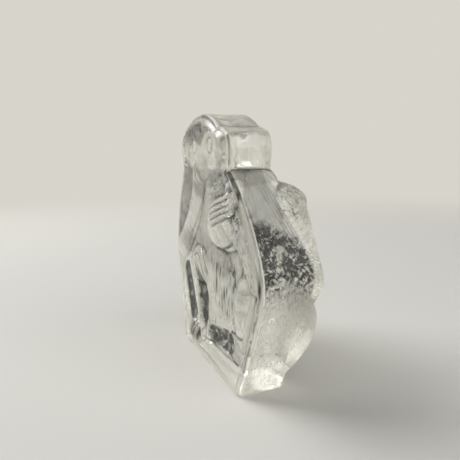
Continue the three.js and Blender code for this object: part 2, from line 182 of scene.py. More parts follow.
# Hollows round the leg
LEG_HOLLOW = 1.8
OUTER_GAP = 12.0
OUTER_GAP_HALF = 7.5
OUTER_GAP_SPAN = (0.28, 0.72)
INNER_GAP_OFFSET = 10.0
INNER_GAP_HEIGHT = 32.0
INNER_GAP_HALF = 8.0
INNER_GAP_LENGTH = 38.0
INNER_GAP_TURN = 0.2
GROUND_START = 4.0
GROUND_END = 21.0
GROUND_HEIGHT = 17.5
GROUND_CLIMB = 4.0
GROUND_HALF = 5.5

# Back, as heights above the plane of the back
BACK_LEVEL = 22.5
HEAD_BACK_LEVEL = 19.0
SPINE_RISE = 6.5
SPINE_WIDTH = 55.0
SPINE_HALF_HEIGHT = ELBOW_HEIGHT * 0.74
SHOULDER_RISE = 9.5
SHOULDER_SPREAD = 0.45
SHOULDER_BELOW_NECK = 11.0
SHOULDER_HALF = 11.0
SHOULDER_THICKNESS = 13.0
BACK_ARM_RISE = 10.2
BACK_ARM_HALF = 12.0
BACK_ARM_DROP = 1.0
HAUNCH_RISE = 11.2
HAUNCH_HEIGHT = 28.0
HAUNCH_HALF = 20.0
HAUNCH_FULLNESS = 0.6
SIDE_INSET = 6.0
TAIL_RISE = 2.4
TAIL_HEIGHT = 6.5
TAIL_HALF = 8.0
NAPE_RISE = 4.2
NAPE_HALF = 9.0
NAPE_DROP = 3.0
BACK_FULLNESS = 0.7

# Carving of the head: places, half widths and depths
EYE_PLACE = (10.0, NECK_HEIGHT + 10.4)
EYE_STRETCH = 1.15
EYE_RING = 3.0
EYE_RING_HALF = 0.5
EYE_RING_DEPTH = 0.3
EYE_DISC = 2.0
EYE_DISC_RISE = 0.2
LEFT_EYE_SHARE = 0.7
PUPIL_HALF = 0.9
PUPIL_SHIFT = 0.4
NOSTRIL_PLACE = (1.8, NECK_HEIGHT - 1.0)
NOSTRIL_HALF = (0.6, 0.5)
NOSTRIL_DEPTH = 0.15
BRIDGE_HALF = 2.4
BRIDGE_RISE = 0.2
BRIDGE_TOP = (0.0, EYE_PLACE[1] - 1.0)
BRIDGE_END = (0.0, NECK_HEIGHT + 3.5)
EAR_BEAD_RISE = 0.4
EAR_LINE_DEPTH = 0.3
EAR_LINE_PLACE = (24.0, NECK_HEIGHT + 8.5)
EAR_LINE_HALF = (6.6, 9.0)
LEFT_EAR_SHARE = 0.6

# Carving of the body. A limb is smooth where it stands out by its edge. A line has a start, a place that it
# passes through and an end, as X and Z
LIMB_EDGE = 1.2
PALM_PLACE = (21.5, 70.5)
PALM_HALF = (19.5, 10.0)
PALM_TURN = 0.1
PALM_STEP = 0.5
PALM_BEAD_RISE = 0.25
KNUCKLE_PATCH = ((31.0, 93.0), (33.0, 84.0), (37.0, 74.0))
KNUCKLE_PATCH_HALF = 4.5
SHIN_SHADE = ((-34.0, 39.0), (-24.3, 18.5))
SHIN_SHADE_HALF = 5.6
ROUGH_GROUND_HALF = 6.5
ROUGH_GROUND_REACH = 3.0
CLEAR_ELBOW = (36.0, 55.0)
CLEAR_ELBOW_HALF = 7.0
TOE_COUNT = 4
TOE_PITCH = 3.3
TOE_HALF = 1.5
TOE_LEAN = 3.0
TOE_TOP = (5.0 - FOOT_OFFSET, 15.5)
TOE_END_HEIGHT = 7.5
# Each cut: its line, its half width, its depth and painted shade, and the share that it narrows to
CUTS = (
    ((26.5, 53.0), (31.0, 45.0), (27.5, 30.0), 0.6, 0.8, 0.75),
    ((-24.5, 50.0), (-12.0, 57.5), (-0.5, 45.0), 0.7, 0.7, 0.75),
    ((-20.0, 47.5), (-11.5, 53.0), (-4.0, 43.0), 0.7, 0.9, 0.75),
    ((-3.0, 11.5), (14.0, 12.0), (34.0, 13.5), 0.7, 0.8, 0.75),
    ((25.0, 14.5), (29.0, 13.4), (33.5, 12.6), 0.9, 1.2, 0.6),
    ((26.0, 25.5), (34.0, 26.5), (41.0, 28.0), 0.9, 1.0, 0.75),
)
CREASES = (
    ((2.0, 73.5), (14.0, 60.5), (35.5, 69.5), 1.0, 1.0, 0.75),
    ((-1.0, 86.0), (-13.5, 69.0), (-33.0, 50.5), 0.9, 0.8, 0.75),
)

# Over this stretch of its noise a chip gets painted shade
CHIP_EDGE = (0.35, 0.8)

# Stretches of height or width over which the carving begins, and for four numbers also ends
HEAD_START = (NECK_HEIGHT - 1.5, NECK_HEIGHT + 2.5)
EAR_LINE_SIDE = (24.0, 27.0)
EAR_FLAT_SIDE = (EAR_HALF - 5.4, EAR_HALF - 2.4)
EAR_FLAT_TOP = (EAR_TOP, EAR_TOP + 2.0)
DENSE_HAIR_START = (NECK_HEIGHT + 7.0, NECK_HEIGHT + 12.0)
DENSE_HAIR_FADE = (8.0, 16.0)
LEFT_HAIR_SIDE = (19.0, 24.0)
THIN_HAIR_SIDE = (12.0, 17.0)
THIN_HAIR_TOP = (EAR_TOP - 2.0, EAR_TOP + 1.0)
PLINTH_TOP = (12.0, 15.0)
CHEST_START = (78.0, 84.0)
CHEST_SIDE = (4.0, 9.0)
CHEEK_TOP = (98.0, 102.0)
CHEEK_SIDE = (33.0, 36.0)
LOW_FUR_TOP = (50.0, 60.0)
GREY_START = (46.0, 54.0)
GREY_FADE = (60.0, 68.0)
STREAKS = (28.0, 34.0, 52.0, 58.0)
STREAKS_SIDE = (2.0, 14.0)
OUTSIDE_START = (54.0, 62.0)
FOREARM_SIDE = (30.0, 36.0)
FOREARM_TOP = (76.0, 84.0)
KNUCKLE_CHIPS_TOP = (80.0, 85.0)
UNDERSIDE_TOP = (70.0, 77.0)
FINGER_GAP_END = (30.0, 34.0)
BACK_HEAD_START = (NECK_HEIGHT - 2.0, NECK_HEIGHT + 4.0)
BACK_PLINTH_TOP = (TAIL_HEIGHT + 4.5, TAIL_HEIGHT + 8.5)
SPINE_GROOVE = (12.0, 24.0, 82.0, 90.0)
SPINE_GROOVE_HALF = 1.6
SPINE_GROOVE_DEPTH = 0.8
NAPE_CHIPS = (83.0, 87.0, NECK_HEIGHT, NECK_HEIGHT + 2.0)
SHOULDER_CHIPS = (68.0, 74.0, 84.0, 88.0)
SHOULDER_CHIPS_SIDE = (20.0, 26.0)
ELBOW_CHIPS = (48.0, 56.0, 64.0, 72.0)
ELBOW_CHIPS_SIDE = (34.0, 44.0)

# The same for the rounded front edge and the wall, and lines on the wall by their distance from its edges
EDGE_LOW = (6.0, 14.0, 52.0, 57.0)
EDGE_HIGH = (50.0, 56.0, 84.0, 90.0)
EDGE_CRESCENT = (82.0, 88.0, NECK_HEIGHT - 1.0, NECK_HEIGHT)
EDGE_BROW = (EAR_TOP - 1.0, EAR_TOP + 2.0)
EDGE_BROW_SIDE = (-6.0, 4.0)
EDGE_EAR = (NECK_HEIGHT + 1.0, NECK_HEIGHT + 3.0, EAR_TOP - 3.0, EAR_TOP - 1.0)
EDGE_ELBOW_HALF = 6.0
FAR_EDGE_SHARE = 0.35
FAR_WALL_SHARE = 0.4
FLAKY_START = (36.0, 58.0)
FLAKY_TOP = 79.0
FINE_WALL = (0.5, 4.0, 48.0, 58.0)
WALL_LINE = 2.4
WALL_LINE_HALF = 0.45
WALL_LINE_ZONE = (44.0, 54.0, 80.0, 90.0)
SHOULDER_LINES = (1.6, 3.0, 4.4, 5.8)
SHOULDER_LINE_HALF = 0.35
SHOULDER_LINE_ZONE = (62.0, 72.0, 86.0, 93.0)
EAR_FLAT = (NECK_HEIGHT + 1.6, NECK_HEIGHT + 2.4, EAR_TOP - 2.0, EAR_TOP - 1.2)
EAR_FLAT_BORDER = (1.6, 2.3)
FRINGE_DROP = 3.2
CROWN_START = (EAR_TOP - 0.5, EAR_TOP + 1.5)
DARK_CORNER = 4.0
DARK_CORNER_START = (48.0, 64.0)
DARK_BORDER_HEIGHT = 65.0
BASE_SHADE_TOP = (5.0, 16.0)
SPARKLE_PLACE = (7.0, 23.0)

# Strokes by their length, pitch and seed, chips by their pitch and seed
HEAD_HAIR = (5.0, 1.7, 21)
BODY_FUR = (11.0, 1.7, 31)
THIN_STREAKS = (9.0, 1.1, 33)
ARM_STROKES = (12.0, 1.6, 43)
BACK_FUR = (8.0, 2.0, 51)
BACK_HAIR = (7.0, 1.9, 57)
CROWN_TUFTS = (11.0, 2.6, 71)
FRONT_CHIPS = (1.8, 37)
GROUND_CHIPS = (2.4, 41)
BACK_CHIPS = (2.6, 63)
WALL_CHIPS = (1.7, 61)
FINE_CHIPS = (1.9, 67)
# Hair fans out from a centre, with so many millimetres across the strokes to a radian
HAIR_FAN = 22.0
BACK_HAIR_CENTRE = 92.0

# Depths of the carving, as shares of the panel's fur, cast and line depths
CUT = {
    "hair": 0.8, "fur": 0.6, "arm strokes": 0.4, "back fur": 1.15, "tufts": 1.2,
    "cheek": 0.5, "rough ground": 1.2, "knuckles": 0.4, "flaky wall": 1.1, "fine wall": 0.35,
    "creases": 0.4, "finger gaps": 0.7, "front edge": 0.8,
    "wall line": 0.4, "shoulder lines": 0.2, "ear flat": 0.5,
}

# How rough and how flaky each feature is made, from 0 to 1
ROUGH = {
    "head": 0.5, "hair": 0.45, "bare body": 0.45, "rough ground": 0.4, "arms": 0.3, "crown edge": 0.6,
    "back base": 0.6, "back": 0.9, "back head": 0.7, "flaky wall": 0.1, "fine wall": 0.6, "crown": 0.2,
}
FLAKY = {
    "hair": 0.35, "cheek": 0.45, "forearm": 0.4, "knuckles": 0.5,
    "nape": 0.5, "back shoulder": 0.6, "back elbow": 0.6, "wall": 0.55, "dark wall": 0.45, "sparkle": 0.3,
}

# Painted shade on each feature, from 0 clear to 1 dark. Below 0 it takes away painted shade from the marks
# about it
PAINTED_SHADE = {
    "eye ring": 0.55, "pupil": 0.2, "nostril": 0.15, "face": -0.35,
    "ear line": 0.6, "ear hollow": -0.8, "ear edge": 0.5,
    "hair": 0.2, "dense hair": 0.35, "hair strokes": 0.4,
    "cheek": 0.05, "cheek chips": 0.35, "knuckles": 0.6, "knuckle chips": 0.3,
    "chest": 0.4, "chest fur": 0.25, "streaks": 0.9, "bare body": 0.05, "outside": 0.32,
    "hollow": 0.7, "hollow chips": 0.5, "shin shade": 1.05, "rough ground": 1.15,
    "arm strokes": 0.2, "forearm": -0.3, "clear elbow": -0.4,
    "palm border": 0.4, "palm bead": -0.35, "palm": -0.4,
    "fingers": -0.3, "finger gaps": 0.85, "cuts": 0.7, "creases": 0.2, "foot": 1.0, "toes": -0.2,
    "back": 0.08, "back base": 0.25, "nape": 0.2, "nape chips": 0.3,
    "back shoulder": 0.3, "back elbow": 0.2,
    "edge crescent": 2.5, "edge brow": 1.3, "edge ear": 1.6, "edge elbow": 1.6,
    "neck": 0.5, "flaky wall": 0.15, "wall chips": 0.45, "dark wall": 0.35, "dark chips": 0.6,
    "wall base": 0.14, "wall line": 0.9, "shoulder lines": 0.12, "under ear": 0.7, "tufts": 0.8,
    "fine crevice": 0.45, "broad crevice": 0.12,
}

# The grid: steps along each stretch of half the outline, rings and widths of its bands, the groove behind the
# front's edge, and how deep a crevice is that gets the full painted shade
STEPS = {"base": 64, "corner": 8, "flank": 88, "shoulder": 72, "lip": 4, "ear": 34, "step": 6, "crown": 56}
HALF_COLUMNS = STEPS["base"] + STEPS["corner"]
FRONT_BAND = 5.0
FRONT_BAND_RINGS = 6
EDGE_RINGS = 5
WALL_RINGS = 40
BACK_BAND = 6.0
BACK_BAND_RINGS = 10
CORE_SPAN = (HEIGHT * 0.18, HEIGHT * 0.86)
CORE_WIDTH = 0.4
FRONT_GROOVE = 3.2
FRONT_GROOVE_HALF = 0.7
FINE_CREVICE = 0.14
BROAD_CREVICE = 0.5

# Glass: cells of its grain and depths of its bumps, in metres
PEEL_CELL = (4.0 * MM, 4.0 * MM, 4.0 * MM)
PIT_CELL = (0.7 * MM, 0.7 * MM, 0.7 * MM)
STRAND_CELL = (0.6 * MM, 0.6 * MM, 6.0 * MM)
FLAKE_CELL = (1.2 * MM, 0.9 * MM, 1.9 * MM)
PEEL_DEPTH = 0.6 * MM
GRAIN_DEPTH = 0.3 * MM
FLAKE_DEPTH = 0.9 * MM
# Which stretch of the noise counts, and what it becomes
FLAKE_EDGE = (0.43, 0.56)
FLAKE_ONSET = (0.05, 0.4)
FLAKE_THINNING = (-0.16, 0.0)
STRAND_EDGE = (0.48, 0.66)
STRAND_SHADE = (0.0, 0.5)
PEEL_SPAN = (0.3, 0.7)
UNEVENNESS = (0.8, 1.2)

# Stage, in metres
FLOOR_NEAR = 1.2
FLOOR_REACH = 0.75
FLOOR_HALF = 2.4
FLOOR_GAP = 0.2 * MM
BEND_RADIUS = 0.35
WALL_TOP = 1.6
FLOOR_STEPS = 12
BEND_STEPS = 24
SIDE_STEPS = 9
GLOW_START = (0.3, 0.9)
LAMP_TARGET = (0.0, 0.0, 0.06)
WINDOW_PLACE = (-1.3, -0.9, 1.3)
WINDOW_SIZE = 1.7
FILL_PLACE = (1.6, 0.4, 1.3)
FILL_SIZE = 2.4
WORLD_COLOUR = (0.60, 0.62, 0.64)
WORLD_STRENGTH = 0.15


# Small functions of numbers and arrays
def mix(a, b, t):
    """A value that goes straight from a to b as t goes from 0 to 1."""
    return a + (b - a) * t


def step(low, high, value):
    """0 below low, 1 above high and an S-shaped climb between them: t squared times 3 - 2t."""
    t = np.clip((value - low) / (high - low), 0.0, 1.0)
    return t * t * (3.0 - 2.0 * t)


def below(low, high, value):
    """1 below low and 0 above high: 1 less the climb between them."""
    return 1.0 - step(low, high, value)


def zone(bounds, value):
    """Of four bounds, 1 between the second and the third, and 0 outside the first and the fourth."""
    return step(*bounds[:2], value) * below(*bounds[2:], value)


def bell(value, centre, half):
    """1 at the centre and less to both sides: e to minus the square of the offset over half."""
    return np.exp(-(((value - centre) / half) ** 2))


def lattice(i, j, seed):
    """A fixed pseudo-random number from 0 to 1 for each pair of whole numbers, by mixing their bits."""
    h = (i.astype(np.int64) * 374761393 + j.astype(np.int64) * 668265263 + seed * 974634777) & 0xFFFFFFFF
    h = ((h ^ (h >> 13)) * 1274126177) & 0xFFFFFFFF
    return ((h ^ (h >> 16)) & 0xFFFF) / 65535.0


def noise(u, v, seed):
    """Value noise from 0 to 1: the numbers at the four corners of each unit cell, blended by S-curves."""
    i = np.floor(u)
    j = np.floor(v)
    fu = step(0.0, 1.0, u - i)
    fv = step(0.0, 1.0, v - j)
    low = mix(lattice(i, j, seed), lattice(i + 1, j, seed), fu)
    high = mix(lattice(i, j + 1, seed), lattice(i + 1, j + 1, seed), fu)
    return mix(low, high, fv)


def strokes(along, across, length, pitch, seed):
    """Fur strokes: ridged noise, drawn out to length along the hair and pitch across it, over a slow wave."""
    sway = 0.9 * noise(along / (length * 1.4), across / (pitch * 5.0), seed + 7)
    coarse = noise(along / length, across / pitch + 2.0 * sway, seed)
    fine = noise(along / (length * 0.6), across / (pitch * 0.5) + 3.0 * sway, seed + 3)
    return 0.65 * np.abs(2.0 * coarse - 1.0) + 0.35 * fine


def pebbles(u, v, pitch, seed):
    """The rough skin of the mould: noise bent by slower noise and ridged, so that it breaks into flakes."""
    bend_u = noise(u / (pitch * 2.3), v / (pitch * 2.3), seed + 11) * 2.6
    bend_v = noise(u / (pitch * 2.3), v / (pitch * 2.3), seed + 17) * 2.6
    coarse = noise(u / pitch + bend_u, v / (pitch * 1.8) + bend_v, seed)
    fine = noise(u / (pitch * 0.5) + bend_v, v / (pitch * 0.8) + bend_u, seed + 5)
    return 0.7 * (1.0 - np.abs(2.0 * coarse - 1.0)) + 0.3 * fine


# Forms that stand on the front and back, as functions of x and z
def dome(x, z, half_x, half_z, rise, turn=0.0, fullness=0.9):
    """A dome on an elliptical plan: rise times (1 - q) to the power of fullness, q the squared distance."""
    c, s = math.cos(turn), math.sin(turn)

    def height(px, pz):
        u = ((px - x) * c + (pz - z) * s) / half_x
        v = ((pz - z) * c - (px - x) * s) / half_z
        return rise * np.power(np.clip(1.0 - u * u - v * v, 0.0, 1.0), fullness)

    return height


def ridge(start, end, half, rise, fullness=0.9):
    """A rounded ridge on a line: rise times (1 - q) to the power of fullness, q the squared offset."""
    dx, dz = end[0] - start[0], end[1] - start[1]
    square = dx * dx + dz * dz

    def height(px, pz):
        t = np.clip(((px - start[0]) * dx + (pz - start[1]) * dz) / square, 0.0, 1.0)
        q = ((px - start[0] - t * dx) ** 2 + (pz - start[1] - t * dz) ** 2) / (half * half)
        return rise * np.power(np.clip(1.0 - q, 0.0, 1.0), fullness)

    return height


def arc_ridge(start, through, end, half, rise, taper=1.0):
    """A rounded ridge on a bent line, a quadratic curve cut into eight straight ridges of which the highest
    counts. Its width narrows along it to the taper share."""
    t = np.linspace(0.0, 1.0, 9)[:, None]
    start, through, end = (np.array(p, float) for p in (start, through, end))
    control = 2.0 * through - 0.5 * (start + end)
    line = (1 - t) ** 2 * start + 2 * t * (1 - t) * control + t * t * end
    last = len(line) - 2
    pieces = [ridge(line[k], line[k + 1], half * mix(1.0, taper, k / last), rise) for k in range(last + 1)]
    return lambda px, pz: highest(pieces, px, pz)


def plate(x, z, half_x, half_z, rise, border=0.8):
    """A flat-topped plate on an elliptical plan, which falls to nothing from the border share to its rim."""
    return lambda px, pz: rise * below(border, 1.0, np.hypot((px - x) / half_x, (pz - z) / half_z))


def highest(forms, x, z):
    """The height of the highest of several forms."""
    return np.maximum.reduce([form(x, z) for form in forms])


def joined(forms, x, z):
    """Several forms run together: the fourth root of the sum of their fourth powers."""
    return np.power(sum(form(x, z) ** 4 for form in forms), 0.25)


def front_forms():
    """The animal's forms on the front: the smooth limbs first, then the belly."""
    left_shoulder = (-LEFT_SHOULDER_OFFSET, NECK_HEIGHT - LEFT_ARM_HALF + SHOULDER_SHIFT)
    left_elbow = (LEFT_ARM_HALF + LEFT_ELBOW_INSET - LEFT_ELBOW_HALF, ELBOW_HEIGHT)
    middle = [mix(a, b, 0.5) for a, b in zip(left_shoulder, left_elbow)]
    left_bend = (middle[0] + LEFT_ARM_BOW, middle[1])
    right_shoulder = (NECK_HALF + RIGHT_SHOULDER_REACH, NECK_HEIGHT - RIGHT_ARM_HALF - SHOULDER_SHIFT)
    right_elbow = (ELBOW_HALF - RIGHT_ARM_HALF / 2.0, ELBOW_HEIGHT + RIGHT_ELBOW_LIFT)
    wrist = (HAND_OFFSET + WRIST_REACH, HAND_HEIGHT - WRIST_DROP)
    thigh = (ELBOW_HALF - RIGHT_THIGH_HALF - RIGHT_THIGH_INSET, KNEE_HEIGHT - RIGHT_THIGH_DROP)
    limbs = [
        arc_ridge(left_shoulder, left_bend, left_elbow, LEFT_ARM_HALF, ARM_RISE),
        ridge(right_shoulder, right_elbow, RIGHT_ARM_HALF, ARM_RISE),
        ridge(wrist, right_elbow, RIGHT_ARM_HALF, ARM_RISE),
        dome(HAND_OFFSET, HAND_HEIGHT, HAND_LENGTH / 2, HAND_WIDTH / 2, HAND_RISE, HAND_TURN, HAND_FULLNESS),
        dome(-LEFT_KNEE_OFFSET, KNEE_HEIGHT, LEFT_KNEE_HALF, LEFT_KNEE_HALF * KNEE_FLATNESS, KNEE_RISE),
        ridge(SHIN_TOP, ANKLE, SHIN_HALF, SHIN_RISE),
        dome(*thigh, RIGHT_THIGH_HALF, RIGHT_THIGH_HEIGHT / 2, KNEE_RISE, RIGHT_THIGH_TURN),
        dome(-FOOT_OFFSET, FOOT_HEIGHT, FOOT_LENGTH / 2, FOOT_WIDTH / 2, FOOT_RISE, FOOT_TURN),
    ]
    return limbs, dome(BELLY_OFFSET, KNEE_HEIGHT - BELLY_DROP, BELLY_WIDTH / 2, BELLY_HEIGHT / 2, BELLY_RISE)


def finger(k):
    """The line of finger k of the hand on the chest, from its knuckle over its bend to its tip. Half numbers
    give the lines between the fingers."""
    knuckle = (HAND_OFFSET + KNUCKLE_REACH, HAND_HEIGHT + KNUCKLE_LIFT - KNUCKLE_PITCH * k)
    bend = (HAND_OFFSET + FINGER_REACH, HAND_HEIGHT + FINGER_LIFT - FINGER_PITCH * k)
    return knuckle, bend, (HAND_OFFSET - TIP_REACH + TIP_SHIFT * k, HAND_HEIGHT + TIP_LIFT - TIP_PITCH * k)


def leg_hollows():
    """The hollows outside the shin, between the shin and the belly, and above the base."""
    shin = [[mix(a, b, share) for a, b in zip(SHIN_TOP, ANKLE)] for share in OUTER_GAP_SPAN]
    beside = [(x - OUTER_GAP, z) for x, z in shin]
    start = (GROUND_START, GROUND_HEIGHT - GROUND_CLIMB / 2)
    end = (GROUND_END, GROUND_HEIGHT + GROUND_CLIMB / 2)
    inner_half = (INNER_GAP_HALF, INNER_GAP_LENGTH / 2)
    return [
        ridge(*beside, OUTER_GAP_HALF, LEG_HOLLOW),
        dome(-INNER_GAP_OFFSET, INNER_GAP_HEIGHT, *inner_half, LEG_HOLLOW, INNER_GAP_TURN),
        ridge(start, end, GROUND_HALF, LEG_HOLLOW),
    ]


def back_forms():
    """The forms of the back: spine, head, nape and tail, then each side's shoulder, arm and haunch."""
    nape_end, tail_end = NECK_HALF - NAPE_HALF, BASE_HALF - TAIL_HALF
    nape_height = NECK_HEIGHT - NAPE_DROP
    shoulder = mix(NECK_HALF, ELBOW_HALF, SHOULDER_SPREAD) - SIDE_INSET
    haunch = mix(BASE_HALF, ELBOW_HALF, HAUNCH_HEIGHT / ELBOW_HEIGHT) - SIDE_INSET
    shoulder_height = NECK_HEIGHT - SHOULDER_BELOW_NECK
    shoulder_half = (SHOULDER_HALF, SHOULDER_THICKNESS / 2)
    forms = [
        dome(0.0, ELBOW_HEIGHT, SPINE_WIDTH / 2, SPINE_HALF_HEIGHT, SPINE_RISE),
        dome(0.0, NECK_HEIGHT + EAR_HEIGHT * 0.55, EAR_HALF - 1.0, EAR_HEIGHT * 0.95, NAPE_RISE),
        ridge((-nape_end, nape_height), (nape_end, nape_height), NAPE_HALF, NAPE_RISE),
        ridge((-tail_end, TAIL_HEIGHT), (tail_end, TAIL_HEIGHT), TAIL_HALF, TAIL_RISE),
    ]
    for side in (-1, 1):
        arm_top = (side * shoulder, shoulder_height - SHOULDER_THICKNESS / 2)
        arm_end = (side * (ELBOW_HALF - SIDE_INSET), ELBOW_HEIGHT - BACK_ARM_DROP)
        forms += [
            dome(side * shoulder, shoulder_height, *shoulder_half, SHOULDER_RISE, 0.0, BACK_FULLNESS),
            ridge(arm_top, arm_end, BACK_ARM_HALF, BACK_ARM_RISE, BACK_FULLNESS),
            dome(side * haunch, HAUNCH_HEIGHT, HAUNCH_HALF, HAUNCH_HALF, HAUNCH_RISE, 0.0, HAUNCH_FULLNESS),
        ]
    return forms


class Glass:
    """The forms of the glass, with the depths of its carving from the panel's sizes."""

    def __init__(self, sizes):
        self.fur = sizes.fur_depth / MM
        self.cast = sizes.cast_depth / MM
        self.line = sizes.line_depth / MM
        self.toe = sizes.toe_rise / MM
        finger_rise = sizes.finger_rise / MM

        self.limbs, self.belly = front_forms()
        self.arms, self.hand, self.foot = self.limbs[:3], self.limbs[3], self.limbs[7]
        self.hollows = leg_hollows()
        self.back = back_forms()
        self.fingers = [arc_ridge(*finger(k), FINGER_HALF, finger_rise) for k in range(FINGER_COUNT)]
        self.finger_gaps = [arc_ridge(*finger(k + 0.5), FINGER_GAP_HALF, 1.0) for k in range(FINGER_COUNT)]
        ear = EAR_HALF - EAR_RIM - EAR_HOLLOW_HALF
        ear_height = NECK_HEIGHT + EAR_HEIGHT * 0.58
        ear_size = (EAR_HOLLOW_HALF, EAR_HOLLOW_HEIGHT / 2, HAIR_RISE)
        self.ears = [dome(side * ear, ear_height, *ear_size) for side in (-1, 1)]
        self.hair = plate(0.0, NECK_HEIGHT + EAR_HEIGHT * 0.67, EAR_HALF * 0.86, EAR_HEIGHT * 0.8, HAIR_RISE)
        # The face's plan is heart shaped: two lobes, the right one higher, and the chin
        self.face_forms = [plate(x, NECK_HEIGHT + lift, *half, FACE_SINK) for x, lift, *half in FACE_LOBES]
        self.muzzle = dome(0.0, NECK_HEIGHT + MUZZLE_LIFT, MUZZLE_HALF, MUZZLE_HEIGHT / 2, MUZZLE_RISE)

        # Where the glass is carved, gets painted shade or is mottled without a form of its own, from 0 to 1
        self.palm = dome(*PALM_PLACE, *PALM_HALF, 1.0, PALM_TURN, 1.0)
        self.shin_shade = ridge(*SHIN_SHADE, SHIN_SHADE_HALF, 1.0, 0.4)
        self.knuckles = arc_ridge(*KNUCKLE_PATCH, KNUCKLE_PATCH_HALF, 1.0)
        start = (GROUND_START, GROUND_HEIGHT - GROUND_CLIMB / 2)
        end = (GROUND_END + ROUGH_GROUND_REACH, GROUND_HEIGHT + GROUND_CLIMB / 2)
        self.ground = ridge(start, end, ROUGH_GROUND_HALF, 1.0)
        self.bridge = ridge(BRIDGE_TOP, BRIDGE_END, BRIDGE_HALF, BRIDGE_RISE)
        self.cuts = [arc_ridge(*cut) for cut in CUTS]
        self.creases = [arc_ridge(*crease) for crease in CREASES]
        self.toes = []
        for k in range(TOE_COUNT):
            top = TOE_TOP[0] - TOE_PITCH * k
            self.toes.append(ridge((top, TOE_TOP[1]), (top - TOE_LEAN, TOE_END_HEIGHT), TOE_HALF, 1.0))

    def front_edge(self, z):
        """The front's plane: a shallow hollow at the waist, and a little forward at the head and the base."""
        waist = np.sin(math.pi * np.clip(z / NECK_HEIGHT, 0.0, 1.0)) ** 2
        head = step(NECK_HEIGHT - 12.0, NECK_HEIGHT + 3.0, z)
        plinth = below(FOOT_HEIGHT / 2, FOOT_HEIGHT + 3.0, z)
        return WAIST_HOLLOW * waist - HEAD_LEAN * head - PLINTH_LEAN * plinth

    def face(self, x, z):
        """1 on the bare face, 0 under the hair: two round lobes about the eyes and an oval to the chin."""
        return np.minimum(joined(self.face_forms, x, z) / FACE_SINK, 1.0)

    def front(self, x, z):
        """The main forms of the front, as Y."""
        skull = np.maximum(self.hair(x, z) - FACE_SINK * self.face(x, z), 0.0)
        raised = joined([lambda px, pz: skull, self.muzzle, self.belly, *self.limbs], x, z)
        sunk = joined([*self.ears, *self.hollows], x, z)
        return self.front_edge(z) - raised - highest(self.fingers, x, z) + sunk

    def back_surface(self, x, z):
        """The main forms of the back, as Y."""
        plane = mix(BACK_LEVEL, HEAD_BACK_LEVEL, step(NECK_HEIGHT - 6.0, NECK_HEIGHT + 1.0, z))
        return plane + joined(self.back, x, z)

    def head_carving(self, x, z, head):
        """What is carved into the head's front: how far it stands out, how rough and flaky it is and how much
        painted shade it gets.
        """
        face = self.face(x, z)
        out = self.bridge(x, z)
        painted_shade = np.zeros_like(x)
        # Eyes: a shallow ring round a disc, with painted shade in the ring and the middle, fainter on the
        # left. Nose:
        # two nostrils with a little painted shade
        eyes = np.zeros_like(x)
        for side, share in ((-1, LEFT_EYE_SHARE), (1, 1.0)):
            across = x - side * EYE_PLACE[0]
            r = np.hypot(across, (z - EYE_PLACE[1]) / EYE_STRETCH)
            ring = bell(r, EYE_RING, EYE_RING_HALF)
            eyes = np.maximum(eyes, ring)
            out += share * (EYE_DISC_RISE * np.exp(-((r / EYE_DISC) ** 4)) - EYE_RING_DEPTH * ring)
            pupil = bell(np.hypot(across - PUPIL_SHIFT, z - EYE_PLACE[1]), 0.0, PUPIL_HALF)
            painted_shade += share * (PAINTED_SHADE["eye ring"] * ring + PAINTED_SHADE["pupil"] * pupil)
            nostril = bell(x, side * NOSTRIL_PLACE[0], NOSTRIL_HALF[0])
            nostril = nostril * bell(z, NOSTRIL_PLACE[1], NOSTRIL_HALF[1])
            out -= NOSTRIL_DEPTH * nostril
            painted_shade += PAINTED_SHADE["nostril"] * nostril

        # Ears: a bead round the hollow, a line of painted shade inside it and a cut line with painted shade
        # before the ear's edge. The hollow and the bare face lose painted shade, and the left ear is calmer
        ears = highest(self.ears, x, z) / HAIR_RISE
        out += EAR_BEAD_RISE * bell(ears, 0.12, 0.12) * (ears > 0.0)
        inner = bell(ears, 0.55, 0.09)
        calm = mix(LEFT_EAR_SHARE, 1.0, step(-2.0, 2.0, x))
        r = np.hypot(
            (np.abs(x) - EAR_LINE_PLACE[0]) / EAR_LINE_HALF[0], (z - EAR_LINE_PLACE[1]) / EAR_LINE_HALF[1]
        )
        outer = bell(r, 1.0, 0.07) * step(*EAR_LINE_SIDE, np.abs(x))
        out -= EAR_LINE_DEPTH * outer
        painted_shade += calm * (PAINTED_SHADE["ear line"] * inner + PAINTED_SHADE["ear hollow"] * ears * (1.0 - inner))
        painted_shade += PAINTED_SHADE["ear edge"] * outer + PAINTED_SHADE["face"] * face * head * (1.0 - eyes)

        # Hair: strokes that run out from the middle of the head, over the crown and beside the face
        flat_ear = step(*EAR_FLAT_SIDE, np.abs(x)) * below(*EAR_FLAT_TOP, z)
        cap = head * (1.0 - face) * (1.0 - calm * ears) * (1.0 - calm * flat_ear)
        hair = strokes(np.hypot(x, z - NECK_HEIGHT), np.arctan2(x, z - NECK_HEIGHT) * HAIR_FAN, *HEAD_HAIR)
        out -= CUT["hair"] * self.fur * cap * hair
        # The hair's painted shade is darkest over the brow and on the far left, and lighter beside the right
        # eye
        dense = step(*DENSE_HAIR_START, z + 0.25 * x) * (1.0 - 0.6 * step(*DENSE_HAIR_FADE, x))
        dense = np.maximum(dense, 0.6 * step(*LEFT_HAIR_SIDE, -x) * (1.0 - ears))
        thin = 1.0 - 0.35 * step(*THIN_HAIR_SIDE, x) * below(*THIN_HAIR_TOP, z)
        painted_shade += cap * thin * (PAINTED_SHADE["hair"] + PAINTED_SHADE["dense hair"] * dense + PAINTED_SHADE["hair strokes"] * hair)
        return out, head * mix(ROUGH["head"], ROUGH["hair"], cap), painted_shade, FLAKY["hair"] * cap * dense

    def front_carving(self, x, z):
        """What is carved into the front: how far it stands out, how rough and flaky the glass is there and how
        much painted shade it gets, from 0 to 1."""
        head = step(*HEAD_START, z)
        out, rough, painted_shade, flaky = self.head_carving(x, z, head)
        body = 1.0 - head

